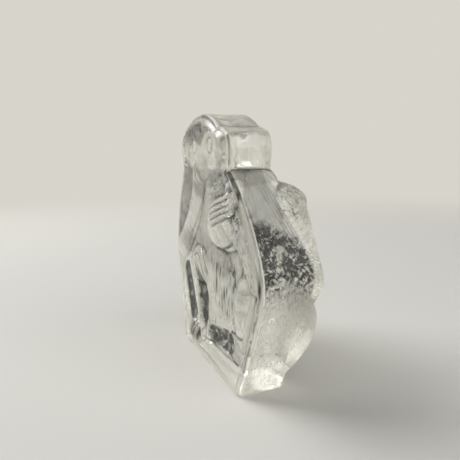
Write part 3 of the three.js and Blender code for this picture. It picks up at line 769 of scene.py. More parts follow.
        # Fur on the chest and belly; the limbs, the hand and the base are smooth
        fingers = highest(self.fingers, x, z)
        limbs = np.minimum(np.maximum(joined(self.limbs, x, z), 2.0 * fingers) / LIMB_EDGE, 1.0)
        bare = body * (1.0 - limbs) * step(*PLINTH_TOP, z)
        chest = step(*CHEST_START, z) * step(*CHEST_SIDE, x)
        down, across = z + 0.25 * x, x - 0.12 * z
        fur = strokes(down, across, *BODY_FUR)
        out -= CUT["fur"] * self.fur * bare * (below(*LOW_FUR_TOP, z) + 0.3) * fur
        rough = np.maximum(rough, ROUGH["bare body"] * bare)
        # Chipped glass with painted shade between the face and the right shoulder
        chips = pebbles(x, z, *FRONT_CHIPS)
        cheek = body * (1.0 - self.face(x, z)) * (1.0 - limbs) * chest
        cheek = cheek * below(*CHEEK_TOP, z) * below(*CHEEK_SIDE, x)
        out -= CUT["cheek"] * self.cast * cheek * chips
        painted_shade += cheek * (PAINTED_SHADE["cheek"] + PAINTED_SHADE["cheek chips"] * chips)
        flaky = np.maximum(flaky, FLAKY["cheek"] * cheek)
        # Painted shade on the belly: greyest at its top, and below that in thin dark streaks
        thin = strokes(down, across, *THIN_STREAKS)
        grey = bare * step(*GREY_START, z) * (1.0 - 0.6 * step(*GREY_FADE, z)) * (1.0 - chest)
        streaks = bare * zone(STREAKS, z) * step(*STREAKS_SIDE, x)
        painted_shade += grey * (PAINTED_SHADE["chest"] + PAINTED_SHADE["chest fur"] * fur) + PAINTED_SHADE["bare body"] * bare
        painted_shade += PAINTED_SHADE["streaks"] * streaks * step(0.35, 0.75, thin)
        rough = np.maximum(rough, streaks)
        # Painted shade on the side of the slab outside the left arm
        outside = bare * step(-3.0, 3.0, -x - 12.0 - 0.8 * (88.0 - z)) * step(*OUTSIDE_START, z)
        painted_shade += PAINTED_SHADE["outside"] * outside

        # Painted shade in the hollows beside the shin and above the base, the last one broken by rough ground
        hollows = joined(self.hollows, x, z) / LEG_HOLLOW
        ground = self.ground(x, z) * bare
        broken = pebbles(x + z, z - 0.6 * x, *GROUND_CHIPS)
        out -= CUT["rough ground"] * self.cast * ground * broken
        deep = (PAINTED_SHADE["hollow"] + PAINTED_SHADE["hollow chips"] * chips) * step(0.0, 0.8, hollows)
        deep = deep + PAINTED_SHADE["shin shade"] * self.shin_shade(x, z) * bare
        painted_shade = mix(painted_shade + deep, PAINTED_SHADE["rough ground"] * step(0.42, 0.6, broken), step(0.2, 0.6, ground))
        flaky = np.maximum(flaky, ground)
        rough = np.maximum(rough, ROUGH["rough ground"] * ground)

        # Fine strokes with a little painted shade along both arms, and a flaky skin on the forearm. The
        # forearm and a place inside the elbow lose painted shade
        arms = np.minimum(joined(self.arms, x, z) / LIMB_EDGE, 1.0) * body
        arms = arms * (1.0 - np.minimum(self.hand(x, z), 1.0))
        light = arms * strokes(z - 0.6 * np.abs(x), x + 0.8 * z, *ARM_STROKES)
        out -= CUT["arm strokes"] * self.fur * light
        forearm = arms * step(*FOREARM_SIDE, x) * below(*FOREARM_TOP, z)
        clear = bell(x, CLEAR_ELBOW[0], CLEAR_ELBOW_HALF) * bell(z, CLEAR_ELBOW[1], CLEAR_ELBOW_HALF)
        painted_shade += PAINTED_SHADE["arm strokes"] * light + PAINTED_SHADE["forearm"] * forearm + PAINTED_SHADE["clear elbow"] * clear
        flaky = np.maximum(flaky, FLAKY["forearm"] * forearm)
        rough = np.maximum(rough, ROUGH["arms"] * arms)
        # Mottled glass with painted shade beside the knuckles
        knuckles = self.knuckles(x, z) * body * (1.0 - np.minimum(fingers, 1.0))
        out -= CUT["knuckles"] * self.cast * knuckles * chips * below(*KNUCKLE_CHIPS_TOP, z)
        painted_shade += knuckles * (PAINTED_SHADE["knuckles"] + PAINTED_SHADE["knuckle chips"] * chips)
        flaky = np.maximum(flaky, FLAKY["knuckles"] * knuckles)
        rough = np.maximum(rough, knuckles)

        # The hand has a raised bead inside a thin line of painted shade round its underside. The bead and the
        # lower palm lose painted shade
        palm = self.palm(x, z)
        under = below(*UNDERSIDE_TOP, z - 0.25 * (x - 20.0))
        bead = bell(palm, 0.22, 0.1) * under
        border = bell(palm, 0.02, 0.05) * (palm > 0.0) * under
        out += PALM_STEP * step(0.0, 0.2, palm) * under + PALM_BEAD_RISE * bead
        painted_shade += PAINTED_SHADE["palm border"] * border + PAINTED_SHADE["palm bead"] * bead
        painted_shade += PAINTED_SHADE["palm"] * np.minimum(palm, 1.0) * under

        # Cut lines with painted shade part the fingers and the limbs. The fingers lose painted shade, and the
        # foot gets it, less on its raised toes
        gaps = highest(self.finger_gaps, x, z) * below(*FINGER_GAP_END, x)
        cuts = highest(self.cuts, x, z)
        creases = highest(self.creases, x, z)
        toes = highest(self.toes, x, z)
        out += self.toe * toes - self.line * (cuts + CUT["creases"] * creases + CUT["finger gaps"] * gaps)
        painted_shade += PAINTED_SHADE["fingers"] * np.minimum(fingers, 1.0) * (1.0 - np.minimum(1.5 * gaps, 1.0))
        painted_shade += PAINTED_SHADE["finger gaps"] * gaps + PAINTED_SHADE["cuts"] * cuts + PAINTED_SHADE["creases"] * creases
        painted_shade += np.minimum(self.foot(x, z), 1.0) * (PAINTED_SHADE["foot"] + PAINTED_SHADE["toes"] * toes)
        return out, rough, painted_shade, flaky

    def back_carving(self, x, z):
        """What is carved into the back: fur, hair on the head, a groove down the spine, and chips at the
        nape, the shoulders and the elbows."""
        side = np.abs(x)
        head = step(*BACK_HEAD_START, z)
        plinth = step(*BACK_PLINTH_TOP, z)
        spine = bell(side, 0.0, SPINE_GROOVE_HALF) * zone(SPINE_GROOVE, z)
        fur = strokes(z + 0.55 * side, side - 0.2 * z, *BACK_FUR)
        up = z - BACK_HAIR_CENTRE
        hair = strokes(np.hypot(x, up), np.arctan2(x, up) * HAIR_FAN, *BACK_HAIR)
        out = -CUT["back fur"] * self.fur * mix(fur * plinth, hair, head) - SPINE_GROOVE_DEPTH * spine
        nape = zone(NAPE_CHIPS, z)
        shoulder = zone(SHOULDER_CHIPS, z) * step(*SHOULDER_CHIPS_SIDE, side)
        elbow = zone(ELBOW_CHIPS, z) * step(*ELBOW_CHIPS_SIDE, side)
        chips = pebbles(x, z, *BACK_CHIPS)
        out -= self.cast * (nape + shoulder + elbow) * chips
        # Painted shade: a little over the whole back, more at its base, at the nape and on the chips of the
        # shoulders and elbows
        painted_shade = PAINTED_SHADE["back"] + PAINTED_SHADE["back base"] * (1.0 - plinth)
        painted_shade = painted_shade + nape * (PAINTED_SHADE["nape"] + PAINTED_SHADE["nape chips"] * chips)
        sides = PAINTED_SHADE["back shoulder"] * shoulder + PAINTED_SHADE["back elbow"] * elbow
        painted_shade = painted_shade + sides * step(*CHIP_EDGE, chips)
        rough = mix(mix(ROUGH["back base"], ROUGH["back"], plinth), ROUGH["back head"], head)
        flaky = FLAKY["nape"] * nape + FLAKY["back shoulder"] * shoulder + FLAKY["back elbow"] * elbow
        return out, rough, painted_shade, flaky

    def edge_marks(self, x, z, turn):
        """How much painted shade the rounded front edge gets, by how far it has turned to the wall, 0 to 1: an
        uneven line up to the elbow, a thin one from there to the shoulder, a dark spot at the elbow, a
        crescent under the ear, and lines along the ear and over the brow."""
        uneven = step(0.2, 0.6, noise(x * 0.9, z * 0.7, 81))
        low = uneven * zone(EDGE_LOW, z) * bell(turn, 0.1, 0.35)
        high = zone(EDGE_HIGH, z) * bell(turn, 0.8, 0.25)
        elbow = PAINTED_SHADE["edge elbow"] * bell(z, ELBOW_HEIGHT, EDGE_ELBOW_HALF) * bell(turn, 0.3, 0.4)
        crescent = PAINTED_SHADE["edge crescent"] * zone(EDGE_CRESCENT, z) * below(0.7, 1.3, turn)
        ear = PAINTED_SHADE["edge ear"] * zone(EDGE_EAR, z) * bell(turn, 0.4, 0.25)
        brow = PAINTED_SHADE["edge brow"] * step(*EDGE_BROW, z) * bell(turn, 0.2, 0.25) * step(*EDGE_BROW_SIDE, x)
        near = np.where(x > 0.0, 1.0, FAR_EDGE_SHARE)
        return near * np.maximum.reduce([low, high, elbow, crescent, ear, brow])

    def wall_carving(self, along, x, y, z, depth):
        """How far the wall is cut in, how rough and flaky it is and how much painted shade it gets. It is
        flaky at the elbows, finely rough below them and smooth on the neck and the ears, with lines along its
        edges and tufts over the crown."""
        from_front = y - self.front_edge(z)
        from_back = depth - y
        inner = step(1.6, 3.4, from_front) * step(0.2, 2.5, from_back)
        above = z - FLAKY_TOP + 0.5 * from_front
        flaky = step(*FLAKY_START, z) * below(-6.0, 4.0, above)
        fine = zone(FINE_WALL, z)
        neck = step(-9.0, -3.0, above) * below(NECK_HEIGHT - 0.5, NECK_HEIGHT + 1.5, z)
        chips = pebbles(along - 0.5 * y, y + 0.35 * along, *WALL_CHIPS)
        fine_chips = pebbles(along - 0.4 * y, y + 0.3 * along, *FINE_CHIPS)
        cut = self.cast * inner * (CUT["flaky wall"] * flaky * chips + CUT["fine wall"] * fine * fine_chips)

        # The line just behind the front edge from the elbow to the shoulder, and thin lines before the back
        # edge of the shoulder
        line = CUT["wall line"] * zone(WALL_LINE_ZONE, z) * bell(from_front, WALL_LINE, WALL_LINE_HALF)
        thin = sum(bell(from_back, place, SHOULDER_LINE_HALF) for place in SHOULDER_LINES)
        thin = thin * zone(SHOULDER_LINE_ZONE, z)
        cut = cut + self.line * (line + CUT["shoulder lines"] * thin)
        # The flat of the ear is dimpled inside a low border, with a wavy line of painted shade hanging from
        # its top and a line of painted shade along its foot
        facet = zone(EAR_FLAT, z) * step(*EAR_FLAT_BORDER, from_front) * step(*EAR_FLAT_BORDER, from_back)
        cut = cut + CUT["ear flat"] * self.line * facet * mix(0.2, 1.0, noise(y * 0.35, z * 0.3, 73))
        fringe = EAR_TOP - FRINGE_DROP * noise(y * 0.28, 0.0 * y, 79)
        rim = 0.5 * bell(z, fringe - 0.3, 0.45) * step(0.0, 2.0, from_front)
        under = bell(z, NECK_HEIGHT + 0.3, 0.35) * step(0.0, 1.5, from_front)
        # Tufts of hair from front to back over the crown
        crown = step(*CROWN_START, z)
        tufts = strokes(y + 0.4 * along, along + 1.6 * np.sin(y * 0.35), *CROWN_TUFTS)
        cut = cut + CUT["tufts"] * self.fur * crown * tufts * step(0.5, 5.0, from_front)

        # Painted shade: on the flaky skin darkest beside the front edge and along its lower border, paler on
        # the far side, and also on the neck, at the base, on the lines, under the ear and in the tufts
        corner = bell(from_front, DARK_CORNER, 6.0) * step(*DARK_CORNER_START, z)
        border = 0.75 * bell(z + 0.35 * from_front, DARK_BORDER_HEIGHT, 5.0) * step(6.0, 14.0, from_front)
        dark = flaky * np.maximum(corner, border) * np.where(x > 0.0, 1.0, FAR_WALL_SHARE)
        chipped = step(*CHIP_EDGE, chips)
        painted_shade = flaky * (PAINTED_SHADE["flaky wall"] + PAINTED_SHADE["wall chips"] * chipped)
        painted_shade = painted_shade + dark * (PAINTED_SHADE["dark wall"] + PAINTED_SHADE["dark chips"] * chipped)
        painted_shade = inner * (painted_shade + PAINTED_SHADE["neck"] * neck + PAINTED_SHADE["wall base"] * below(*BASE_SHADE_TOP, z))
        painted_shade = painted_shade + PAINTED_SHADE["wall line"] * line + PAINTED_SHADE["shoulder lines"] * thin + rim
        painted_shade = painted_shade + PAINTED_SHADE["under ear"] * under + PAINTED_SHADE["tufts"] * crown * tufts * tufts
        rough = inner * (ROUGH["flaky wall"] * flaky + ROUGH["fine wall"] * fine) + ROUGH["crown"] * crown
        sparkle = FLAKY["sparkle"] * bell(from_front, SPARKLE_PLACE[0], 5.0) * bell(z, SPARKLE_PLACE[1], 8.0)
        flaky = np.maximum(flaky * (FLAKY["wall"] + FLAKY["dark wall"] * dark), sparkle) * inner
        return cut, np.clip(rough, 0.0, 1.0), painted_shade, flaky


# The outline and the grid
def bezier(points, count):
    """Count + 1 places at equal steps of length along a Bezier curve of two, three or four points."""
    points = np.array(points, float)
    degree = len(points) - 1
    t = np.linspace(0.0, 1.0, 400)[:, None]
    line = sum(math.comb(degree, k) * t**k * (1 - t) ** (degree - k) * points[k] for k in range(degree + 1))
    length = np.concatenate([[0.0], np.cumsum(np.linalg.norm(np.diff(line, axis=0), axis=1))])
    wanted = np.linspace(0.0, length[-1], count + 1)
    return np.column_stack([np.interp(wanted, length, line[:, k]) for k in (0, 1)])


def wall_depth(stretch, z):
    """The wall's depth on a stretch of the outline: S-curves from foot to haunch, elbow and neck, one depth
    along the ear, and an S-curve over the crown."""
    if stretch == "lip":
        return np.full_like(z, NECK_DEPTH)
    if stretch in ("ear", "step"):
        return np.full_like(z, EAR_DEPTH)
    if stretch == "crown":
        return mix(EAR_DEPTH, CROWN_DEPTH, step(EAR_TOP, HEIGHT, z))
    low = mix(FOOT_DEPTH, HAUNCH_DEPTH, step(0.0, HAUNCH_HEIGHT, z))
    middle = mix(HAUNCH_DEPTH, ELBOW_DEPTH, step(HAUNCH_HEIGHT, ELBOW_HEIGHT, z))
    high = mix(ELBOW_DEPTH, NECK_DEPTH, step(ELBOW_HEIGHT, NECK_HEIGHT, z))
    return np.where(z < HAUNCH_HEIGHT, low, np.where(z < ELBOW_HEIGHT, middle, high))


def outline_side(side, elbow_half, crown_half):
    """One side of the outline, from the middle of the base to the top: X, Z and depth of each place."""
    neck = (NECK_HALF, NECK_HEIGHT)
    lip = (NECK_HALF + EAR_LIP, NECK_HEIGHT + EAR_LIP)
    widest = (elbow_half, ELBOW_HEIGHT)
    round_start = (BASE_HALF - BASE_CORNER, 0.0)
    corner = (BASE_HALF, BASE_CORNER)
    flank = (mix(BASE_HALF, elbow_half, FLANK_PULL[0]), ELBOW_HEIGHT * FLANK_PULL[1])
    bulge = EAR_HALF + EAR_BULGE
    ear_curve = [(bulge, mix(NECK_HEIGHT, EAR_TOP, share)) for share in EAR_PULLS]
    ear_top = (max(EAR_HALF - EAR_ROUNDING, crown_half + 1.0), EAR_TOP)
    notch = (mix(ear_top[0], crown_half, NOTCH_PULL), EAR_TOP + CROWN_STEP + NOTCH_LIFT)
    junction = (crown_half + CROWN_FOOT[0], EAR_TOP + CROWN_STEP + CROWN_FOOT[1])
    crown_side = (crown_half * CROWN_PULL[0], mix(EAR_TOP, HEIGHT, CROWN_PULL[1]))
    curves = {
        "base": [(0.0, 0.0), round_start],
        "corner": [round_start, (BASE_HALF, 0.0), corner],
        "flank": [corner, flank, (elbow_half, ELBOW_HEIGHT - ELBOW_ROUNDING), widest],
        "shoulder": [
            widest,
            (elbow_half, ELBOW_HEIGHT + ELBOW_ROUNDING),
            (NECK_HALF + SHOULDER_SWELL, NECK_HEIGHT - SHOULDER_SWELL),
            neck,
        ],
        "lip": [neck, lip],
        "ear": [lip, *ear_curve, ear_top],
        "step": [ear_top, notch, junction],
        "crown": [junction, crown_side, (crown_half * TOP_PULL, HEIGHT), (0.0, HEIGHT)],
    }
    places = []
    for name, points in curves.items():
        x, z = bezier(points, STEPS[name])[:-1].T
        places.append(np.column_stack([side * x, z, wall_depth(name, z)]))
    return np.concatenate(places)


def outline():
    """The whole outline, anticlockwise from the middle of the base, with each place's distance along it and
    its outward direction, the tangent turned by a quarter and smoothed over its neighbours."""
    right = outline_side(1, ELBOW_HALF, CROWN_HALF)
    left = outline_side(-1, LEFT_ELBOW_HALF, LEFT_CROWN_HALF)
    top = np.array([[0.0, HEIGHT, CROWN_DEPTH]])
    places = np.concatenate([right, top, left[1:][::-1]])
    x, z, depth = places.T
    # The depth jumps at the ears' lips: eased over the neighbouring places
    for _ in range(3):
        depth = (np.roll(depth, 1) + 2.0 * depth + np.roll(depth, -1)) / 4.0
    ahead = np.roll(places, -1, axis=0)[:, :2] - places[:, :2]
    along = np.concatenate([[0.0], np.cumsum(np.hypot(*ahead.T))[:-1]])
    tangent = np.roll(places, -2, axis=0)[:, :2] - np.roll(places, 2, axis=0)[:, :2]
    tangent /= np.linalg.norm(tangent, axis=1)[:, None]
    outward = np.column_stack([tangent[:, 1], -tangent[:, 0]])
    return x, z, depth, along, outward


def rim_sides(rim, columns, rows):
    """The four sides of a closed rim that runs anticlockwise from its lower left corner: bottom, right, top
    and left, the last two turned to run as the first two do."""
    top = rim[columns + rows : 2 * columns + rows + 1][::-1]
    left = np.concatenate([rim[2 * columns + rows :], rim[:1]])[::-1]
    return rim[: columns + 1], rim[columns : columns + rows + 1], top, left


def coons(rim, columns, rows):
    """A grid of rows x columns places inside a closed rim, blended from its four sides: the sum of the blends
    between left and right and between bottom and top, less the blend of the corners."""
    bottom, right, top, left = rim_sides(rim, columns, rows)
    u = np.linspace(0.0, 1.0, columns + 1)[None, :, None]
    v = np.linspace(0.0, 1.0, rows + 1)[:, None, None]
    across = (1 - u) * left[:, None] + u * right[:, None]
    upward = (1 - v) * bottom[None] + v * top[None]
    corners = (1 - v) * ((1 - u) * bottom[0] + u * bottom[-1]) + v * ((1 - u) * top[0] + u * top[-1])
    return across + upward - corners


def grid_quads(index):
    """The quads between the vertices of a grid of vertex numbers."""
    a, b = index[:-1, :-1].ravel(), index[:-1, 1:].ravel()
    c, d = index[1:, 1:].ravel(), index[1:, :-1].ravel()
    return np.column_stack([a, b, c, d])


def skin(glass):
    """The closed skin: rings from the front's field over the front edge, the wall and the back edge, and a
    grid inside the first ring and the last. Returns the vertices, the quads and each vertex's marks: how
    rough the glass is, how much painted shade it gets and how flaky it is."""
    x, z, depth, along, outward = outline()
    count = len(x)
    rim = np.column_stack([x, z])
    inward = np.column_stack([x * CORE_WIDTH, mix(*CORE_SPAN, z / HEIGHT)]) - rim
    inward /= np.linalg.norm(inward, axis=1)[:, None]
    edge_y = glass.front_edge
    loops, marks = [], []

    def inset(distance):
        return (rim + inward * distance).T

    for k in range(FRONT_BAND_RINGS):
        distance = mix(FRONT_BAND, FRONT_ROUNDING, k / FRONT_BAND_RINGS)
        px, pz = inset(distance)
        carved, *mark = glass.front_carving(px, pz)
        settled = step(FRONT_ROUNDING, FRONT_ROUNDING + FRONT_RIM, distance)
        groove = bell(distance, FRONT_GROOVE, FRONT_GROOVE_HALF) * (pz < NECK_HEIGHT) * (pz > 3.0)
        y = mix(edge_y(pz), glass.front(px, pz) - carved, settled) + CUT["front edge"] * glass.line * groove
        loops.append(np.column_stack([px, y, pz]))
        marks.append(np.column_stack(mark) * settled)
    for k in range(EDGE_RINGS + 1):
        angle = 0.5 * math.pi * k / EDGE_RINGS
        px, pz = inset(FRONT_ROUNDING * (1.0 - math.sin(angle)))
        y = edge_y(pz) + FRONT_ROUNDING * (1.0 - math.cos(angle))
        painted_shade = glass.edge_marks(px, pz, k / EDGE_RINGS)
        loops.append(np.column_stack([px, y, pz]))
        rough = ROUGH["crown edge"] * step(EAR_TOP - 5.0, EAR_TOP, pz)
        marks.append(np.column_stack([rough, painted_shade, np.zeros(count)]))
    for k in range(1, WALL_RINGS + 1):
        y = mix(edge_y(z) + FRONT_ROUNDING, depth, k / WALL_RINGS)
        cut, *mark = glass.wall_carving(along, x, y, z, depth)
        cut = cut * step(0.5, 4.0, z)
        loops.append(np.column_stack([x - outward[:, 0] * cut, y, z - outward[:, 1] * cut]))
        marks.append(np.column_stack(mark))
    for k in range(1, BACK_BAND_RINGS + 1):
        distance = BACK_BAND * (k / BACK_BAND_RINGS) ** 1.5
        px, pz = inset(distance)
        climb = math.sqrt(1.0 - max(1.0 - distance / BACK_ROUNDING, 0.0) ** 2)
        carved, *mark = glass.back_carving(px, pz)
        settled = step(1.5, BACK_BAND, distance)
        y = mix(depth, glass.back_surface(px, pz), climb) + carved * settled
        loops.append(np.column_stack([px, y, pz]))
        marks.append(mix(marks[-k], np.column_stack(mark), settled))

    columns = 2 * HALF_COLUMNS
    rows = count // 2 - columns
    grids = []
    for loop, surface, carving, sign in (
        (loops[0], glass.front, glass.front_carving, -1.0),
        (loops[-1], glass.back_surface, glass.back_carving, 1.0),
    ):
        flat = coons(np.roll(loop[:, [0, 2]], HALF_COLUMNS, axis=0), columns, rows)
        px, pz = flat[..., 0], flat[..., 1]
        carved, *mark = carving(px, pz)
        y = surface(px, pz) + sign * carved
        grids.append((np.stack([px, y, pz], axis=-1), np.stack(mark, axis=-1)))
    return weave(loops, marks, grids, count, columns, rows)


def weave(loops, marks, grids, count, columns, rows):
    """Numbers the vertices and the quads. A grid shares its rim with the loop it lies in."""
    points = [np.concatenate(loops)]
    marks = [np.concatenate(marks)]
    quads = []
    place = np.arange(count)
    following = (place + 1) % count
    for k in range(len(loops) - 1):
        a, b = k * count, (k + 1) * count
        quads.append(np.column_stack([a + place, b + place, b + following, a + following]))
    total = len(loops) * count
    inner = (rows - 1) * (columns - 1)
    for start, (grid, mark), order in (
        (0, grids[0], [0, 1, 2, 3]),
        ((len(loops) - 1) * count, grids[1], [0, 3, 2, 1]),
    ):
        rim = start + (place - HALF_COLUMNS) % count
        index = np.zeros((rows + 1, columns + 1), int)
        index[0, :], index[:, -1], index[-1, :], index[:, 0] = rim_sides(rim, columns, rows)
        index[1:-1, 1:-1] = total + np.arange(inner).reshape(rows - 1, columns - 1)
        points.append(grid[1:-1, 1:-1].reshape(-1, 3))
        marks.append(mark[1:-1, 1:-1].reshape(-1, 3))
        total += inner
        # The back's quads run the other way round, so that they face outwards as well
        quads.append(grid_quads(index)[:, order])
    return np.concatenate(points), np.concatenate(quads), np.concatenate(marks)


def relaxed(values, pairs, rounds):
    """The values after so many rounds in which each vertex takes half of its own and half of its neighbours'
    average. Pairs are the edges, as two columns of vertex numbers."""
    count = len(values)
    own, other = np.concatenate([pairs, pairs[:, ::-1]]).T
    degree = np.bincount(own, minlength=count)[:, None]
    for _ in range(rounds):
        sums = [np.bincount(own, weights=column[other], minlength=count) for column in values.T]
        values = 0.5 * values + 0.5 * np.column_stack(sums) / degree
    return values


def crevices(points, quads):
    """How deep each place lies in a crevice, up to 1, and below 0 on a crest: how far a smoothed copy of the
    skin stands out along its normal, by a little smoothing for fine strokes and by more for broad creases."""
    count = len(points)
    edges = np.concatenate([quads[:, [k, (k + 1) % 4]] for k in range(4)])
    pairs = np.unique(np.sort(edges, axis=1), axis=0)
    a, b, c, d = (points[quads[:, k]] for k in range(4))
    flat = np.cross(c - a, d - b)
    sums = [sum(np.bincount(quads[:, k], weights=part, minlength=count) for k in range(4)) for part in flat.T]
    normal = np.column_stack(sums)
    normal /= np.linalg.norm(normal, axis=1)[:, None]
    near = relaxed(points, pairs, 6)
    far = relaxed(near, pairs, 60)
    fine = ((near - points) * normal).sum(axis=1) / FINE_CREVICE
    broad = ((far - near) * normal).sum(axis=1) / BROAD_CREVICE
    return np.clip(fine, -0.3, 1.0), np.clip(broad, -0.3, 1.0)


def fitted(points):
    """The points moved and stretched a trace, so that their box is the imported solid's, and put in metres."""
    low, high = points.min(0), points.max(0)
    share = (points - low) / (high - low)
    return np.array(GLASS_LOW) + share * (np.array(GLASS_HIGH) - np.array(GLASS_LOW))


def mesh_object(name, points, quads, attributes, material):
    """A mesh object at the origin from arrays of vertices and quads, shaded smooth."""
    mesh = bpy.data.meshes.new(name)
    mesh.from_pydata(points.tolist(), [], quads.tolist())
    mesh.validate()
    for key, values in attributes.items():
        layer = mesh.attributes.new(key, "FLOAT", "POINT")
        layer.data.foreach_set("value", np.ascontiguousarray(values, np.float32))
    mesh.shade_smooth()
    mesh.materials.append(material)
    obj = bpy.data.objects.new(name, mesh)
    bpy.context.scene.collection.objects.link(obj)
    return obj


# Materials
def node(tree, kind, inputs, **settings):
    """A new node with its settings and its inputs, each the output of another node or a value."""
    made = tree.nodes.new("ShaderNode" + kind)
    for name, value in settings.items():
        setattr(made, name, value)
    feed(tree, made, inputs)
    return made


def feed(tree, made, inputs):
    """Links or sets a node's inputs, by their names or numbers."""
    for key, value in inputs.items():
        if isinstance(value, bpy.types.NodeSocket):
            tree.links.new(value, made.inputs[key])
        else:
            made.inputs[key].default_value = value


def joint(tree, operation, first, second):
    """Two values joined by an operation of the Math node."""
    return node(tree, "Math", {0: first, 1: second}, operation=operation).outputs["Value"]


def remapped(tree, value, source, result=(0.0, 1.0), kind="LINEAR"):
    """A value taken from the source range to the result range, and held at its ends."""
    inputs = {"Value": value, 1: source[0], 2: source[1], 3: result[0], 4: result[1]}
    return node(tree, "MapRange", inputs, interpolation_type=kind).outputs["Result"]


def grain(tree, cell, turn=(0.0, 0.0, 0.0), detail=2.0, distortion=0.0):
    """Noise in cells of the given size in metres, in the object's own place and turned about its axes."""
    place = node(tree, "TexCoord", {}).outputs["Object"]
    turned = node(tree, "Mapping", {"Vector": place, "Rotation": turn, "Scale": cell}, vector_type="TEXTURE")
    inputs = {"Vector": turned.outputs["Vector"], "Scale": 1.0, "Detail": detail, "Distortion": distortion}
    return node(tree, "TexNoise", inputs).outputs["Fac"]


def bump(tree, height, distance, strength, under=(0.0, 0.0, 0.0)):
    """The surface's direction bent by a height in metres, over another bump."""
    inputs = {"Strength": strength, "Distance": distance, "Height": height, "Normal": under}
    return node(tree, "Bump", inputs).outputs["Normal"]


def blended(tree, share, first, second):
    """Two shaders blended by a share of the second."""
    return node(tree, "MixShader", {0: share, 1: first, 2: second}).outputs["Shader"]


def new_material(name):
    """A new node material with a Principled shader: returns the material, its tree and the shader."""
    material = bpy.data.materials.new(name)
    material.use_nodes = True
    tree = material.node_tree
    return material, tree, tree.nodes["Principled BSDF"]


def clear_glass(sizes):
    """Clear pressed glass: polished where the mould was, with a faint orange peel everywhere, frosted where
    the mould was rough, flaky at the elbows, and darkened by painted shade in the crevices, between the flakes
    and wherever the marks put it."""
    material, tree, shader = new_material("clear_pressed_glass")
    marks = [node(tree, "Attribute", {}, attribute_name=name) for name in ("rough", "painted_shade", "flaky")]
    rough, painted_shade, flaky = (mark.outputs["Fac"] for mark in marks)
    peel = grain(tree, PEEL_CELL)
    pits = grain(tree, PIT_CELL, detail=3.0)
    strands = grain(tree, STRAND_CELL, turn=(0.0, 0.1, 0.0))
    # Flakes are few and small where the skin is hardly flaky, and none where it isn't
    flakes = grain(tree, FLAKE_CELL, turn=(0.6, 0.0, 0.0), detail=3.0, distortion=1.0)
    flakes = joint(tree, "ADD", flakes, remapped(tree, flaky, (0.0, 1.0), FLAKE_THINNING))
    flakes = remapped(tree, flakes, FLAKE_EDGE, kind="SMOOTHSTEP")
    flakes = joint(tree, "MULTIPLY", flakes, remapped(tree, flaky, FLAKE_ONSET))

    # Colour: from the clear tint to the dark tint of the painted shade, by the marks, the flakes and the
    # frosted strands
    shade = joint(tree, "ADD", painted_shade, joint(tree, "MULTIPLY", flakes, sizes.flake_painted_shade))
    streaky = joint(tree, "MULTIPLY", remapped(tree, strands, STRAND_EDGE, STRAND_SHADE), rough)
    shade = joint(tree, "ADD", shade, streaky)
    uneven = remapped(tree, peel, PEEL_SPAN, UNEVENNESS)
    tint = node(tree, "Mix", {"Factor": joint(tree, "MULTIPLY", shade, uneven)}, data_type="RGBA")
    clear, smoky = (socket for socket in tint.inputs if socket.type == "RGBA")
    clear.default_value = (*sizes.glass_tint, 1.0)
    smoky.default_value = (*sizes.painted_shade_tint, 1.0)
    colour = [socket for socket in tint.outputs if socket.type == "RGBA"][0]

    height = joint(tree, "MULTIPLY", rough, joint(tree, "ADD", pits, strands))
    normal = bump(tree, peel, PEEL_DEPTH, 0.12)
    normal = bump(tree, height, GRAIN_DEPTH, 0.5, normal)
    normal = bump(tree, joint(tree, "MULTIPLY", flakes, -1.0), FLAKE_DEPTH, 0.9, normal)
    frosted = joint(tree, "MULTIPLY", rough, uneven)
    finish = (sizes.polish, sizes.polish + sizes.frost)
    feed(tree, shader, {
        "Base Color": colour,
        "Roughness": remapped(tree, frosted, (0.0, 1.0), finish),
        "IOR": sizes.glass_ior,
        "Transmission Weight": sizes.clearness,
        "Normal": normal,
    })
    return material


def studio_paint(name, colour, glow):
    """Matt paint with a trace of unevenness, for the floor and the wall. Further from the figurine, the
    camera and the glass see more and more of the wall's own colour at full strength, while the floor near it
    keeps its shadows."""
    material, tree, shader = new_material(name)
    place = node(tree, "TexCoord", {}).outputs["Object"]
    cloud = node(tree, "TexNoise", {"Vector": place, "Scale": 3.0})
    shades = node(tree, "ValToRGB", {"Fac": cloud.outputs["Fac"]})
    shades.color_ramp.elements[0].color = (*[c * 0.985 for c in colour], 1.0)
    shades.color_ramp.elements[1].color = (*colour, 1.0)
    feed(tree, shader, {"Base Color": shades.outputs["Color"], "Roughness": 0.9, "Specular IOR Level": 0.1})

    path = node(tree, "LightPath", {}).outputs
    seen = joint(tree, "MAXIMUM", path["Is Camera Ray"], path["Is Glossy Ray"])
    seen = joint(tree, "MAXIMUM", seen, path["Is Transmission Ray"])
    distance = node(tree, "VectorMath", {0: place}, operation="LENGTH").outputs["Value"]
    share = joint(tree, "MULTIPLY", seen, remapped(tree, distance, GLOW_START, kind="SMOOTHSTEP"))
    wall = node(tree, "Emission", {"Color": (*glow, 1.0)}).outputs["Emission"]
    surface = blended(tree, share, shader.outputs["BSDF"], wall)
    feed(tree, tree.nodes["Material Output"], {"Surface": surface})
    return material


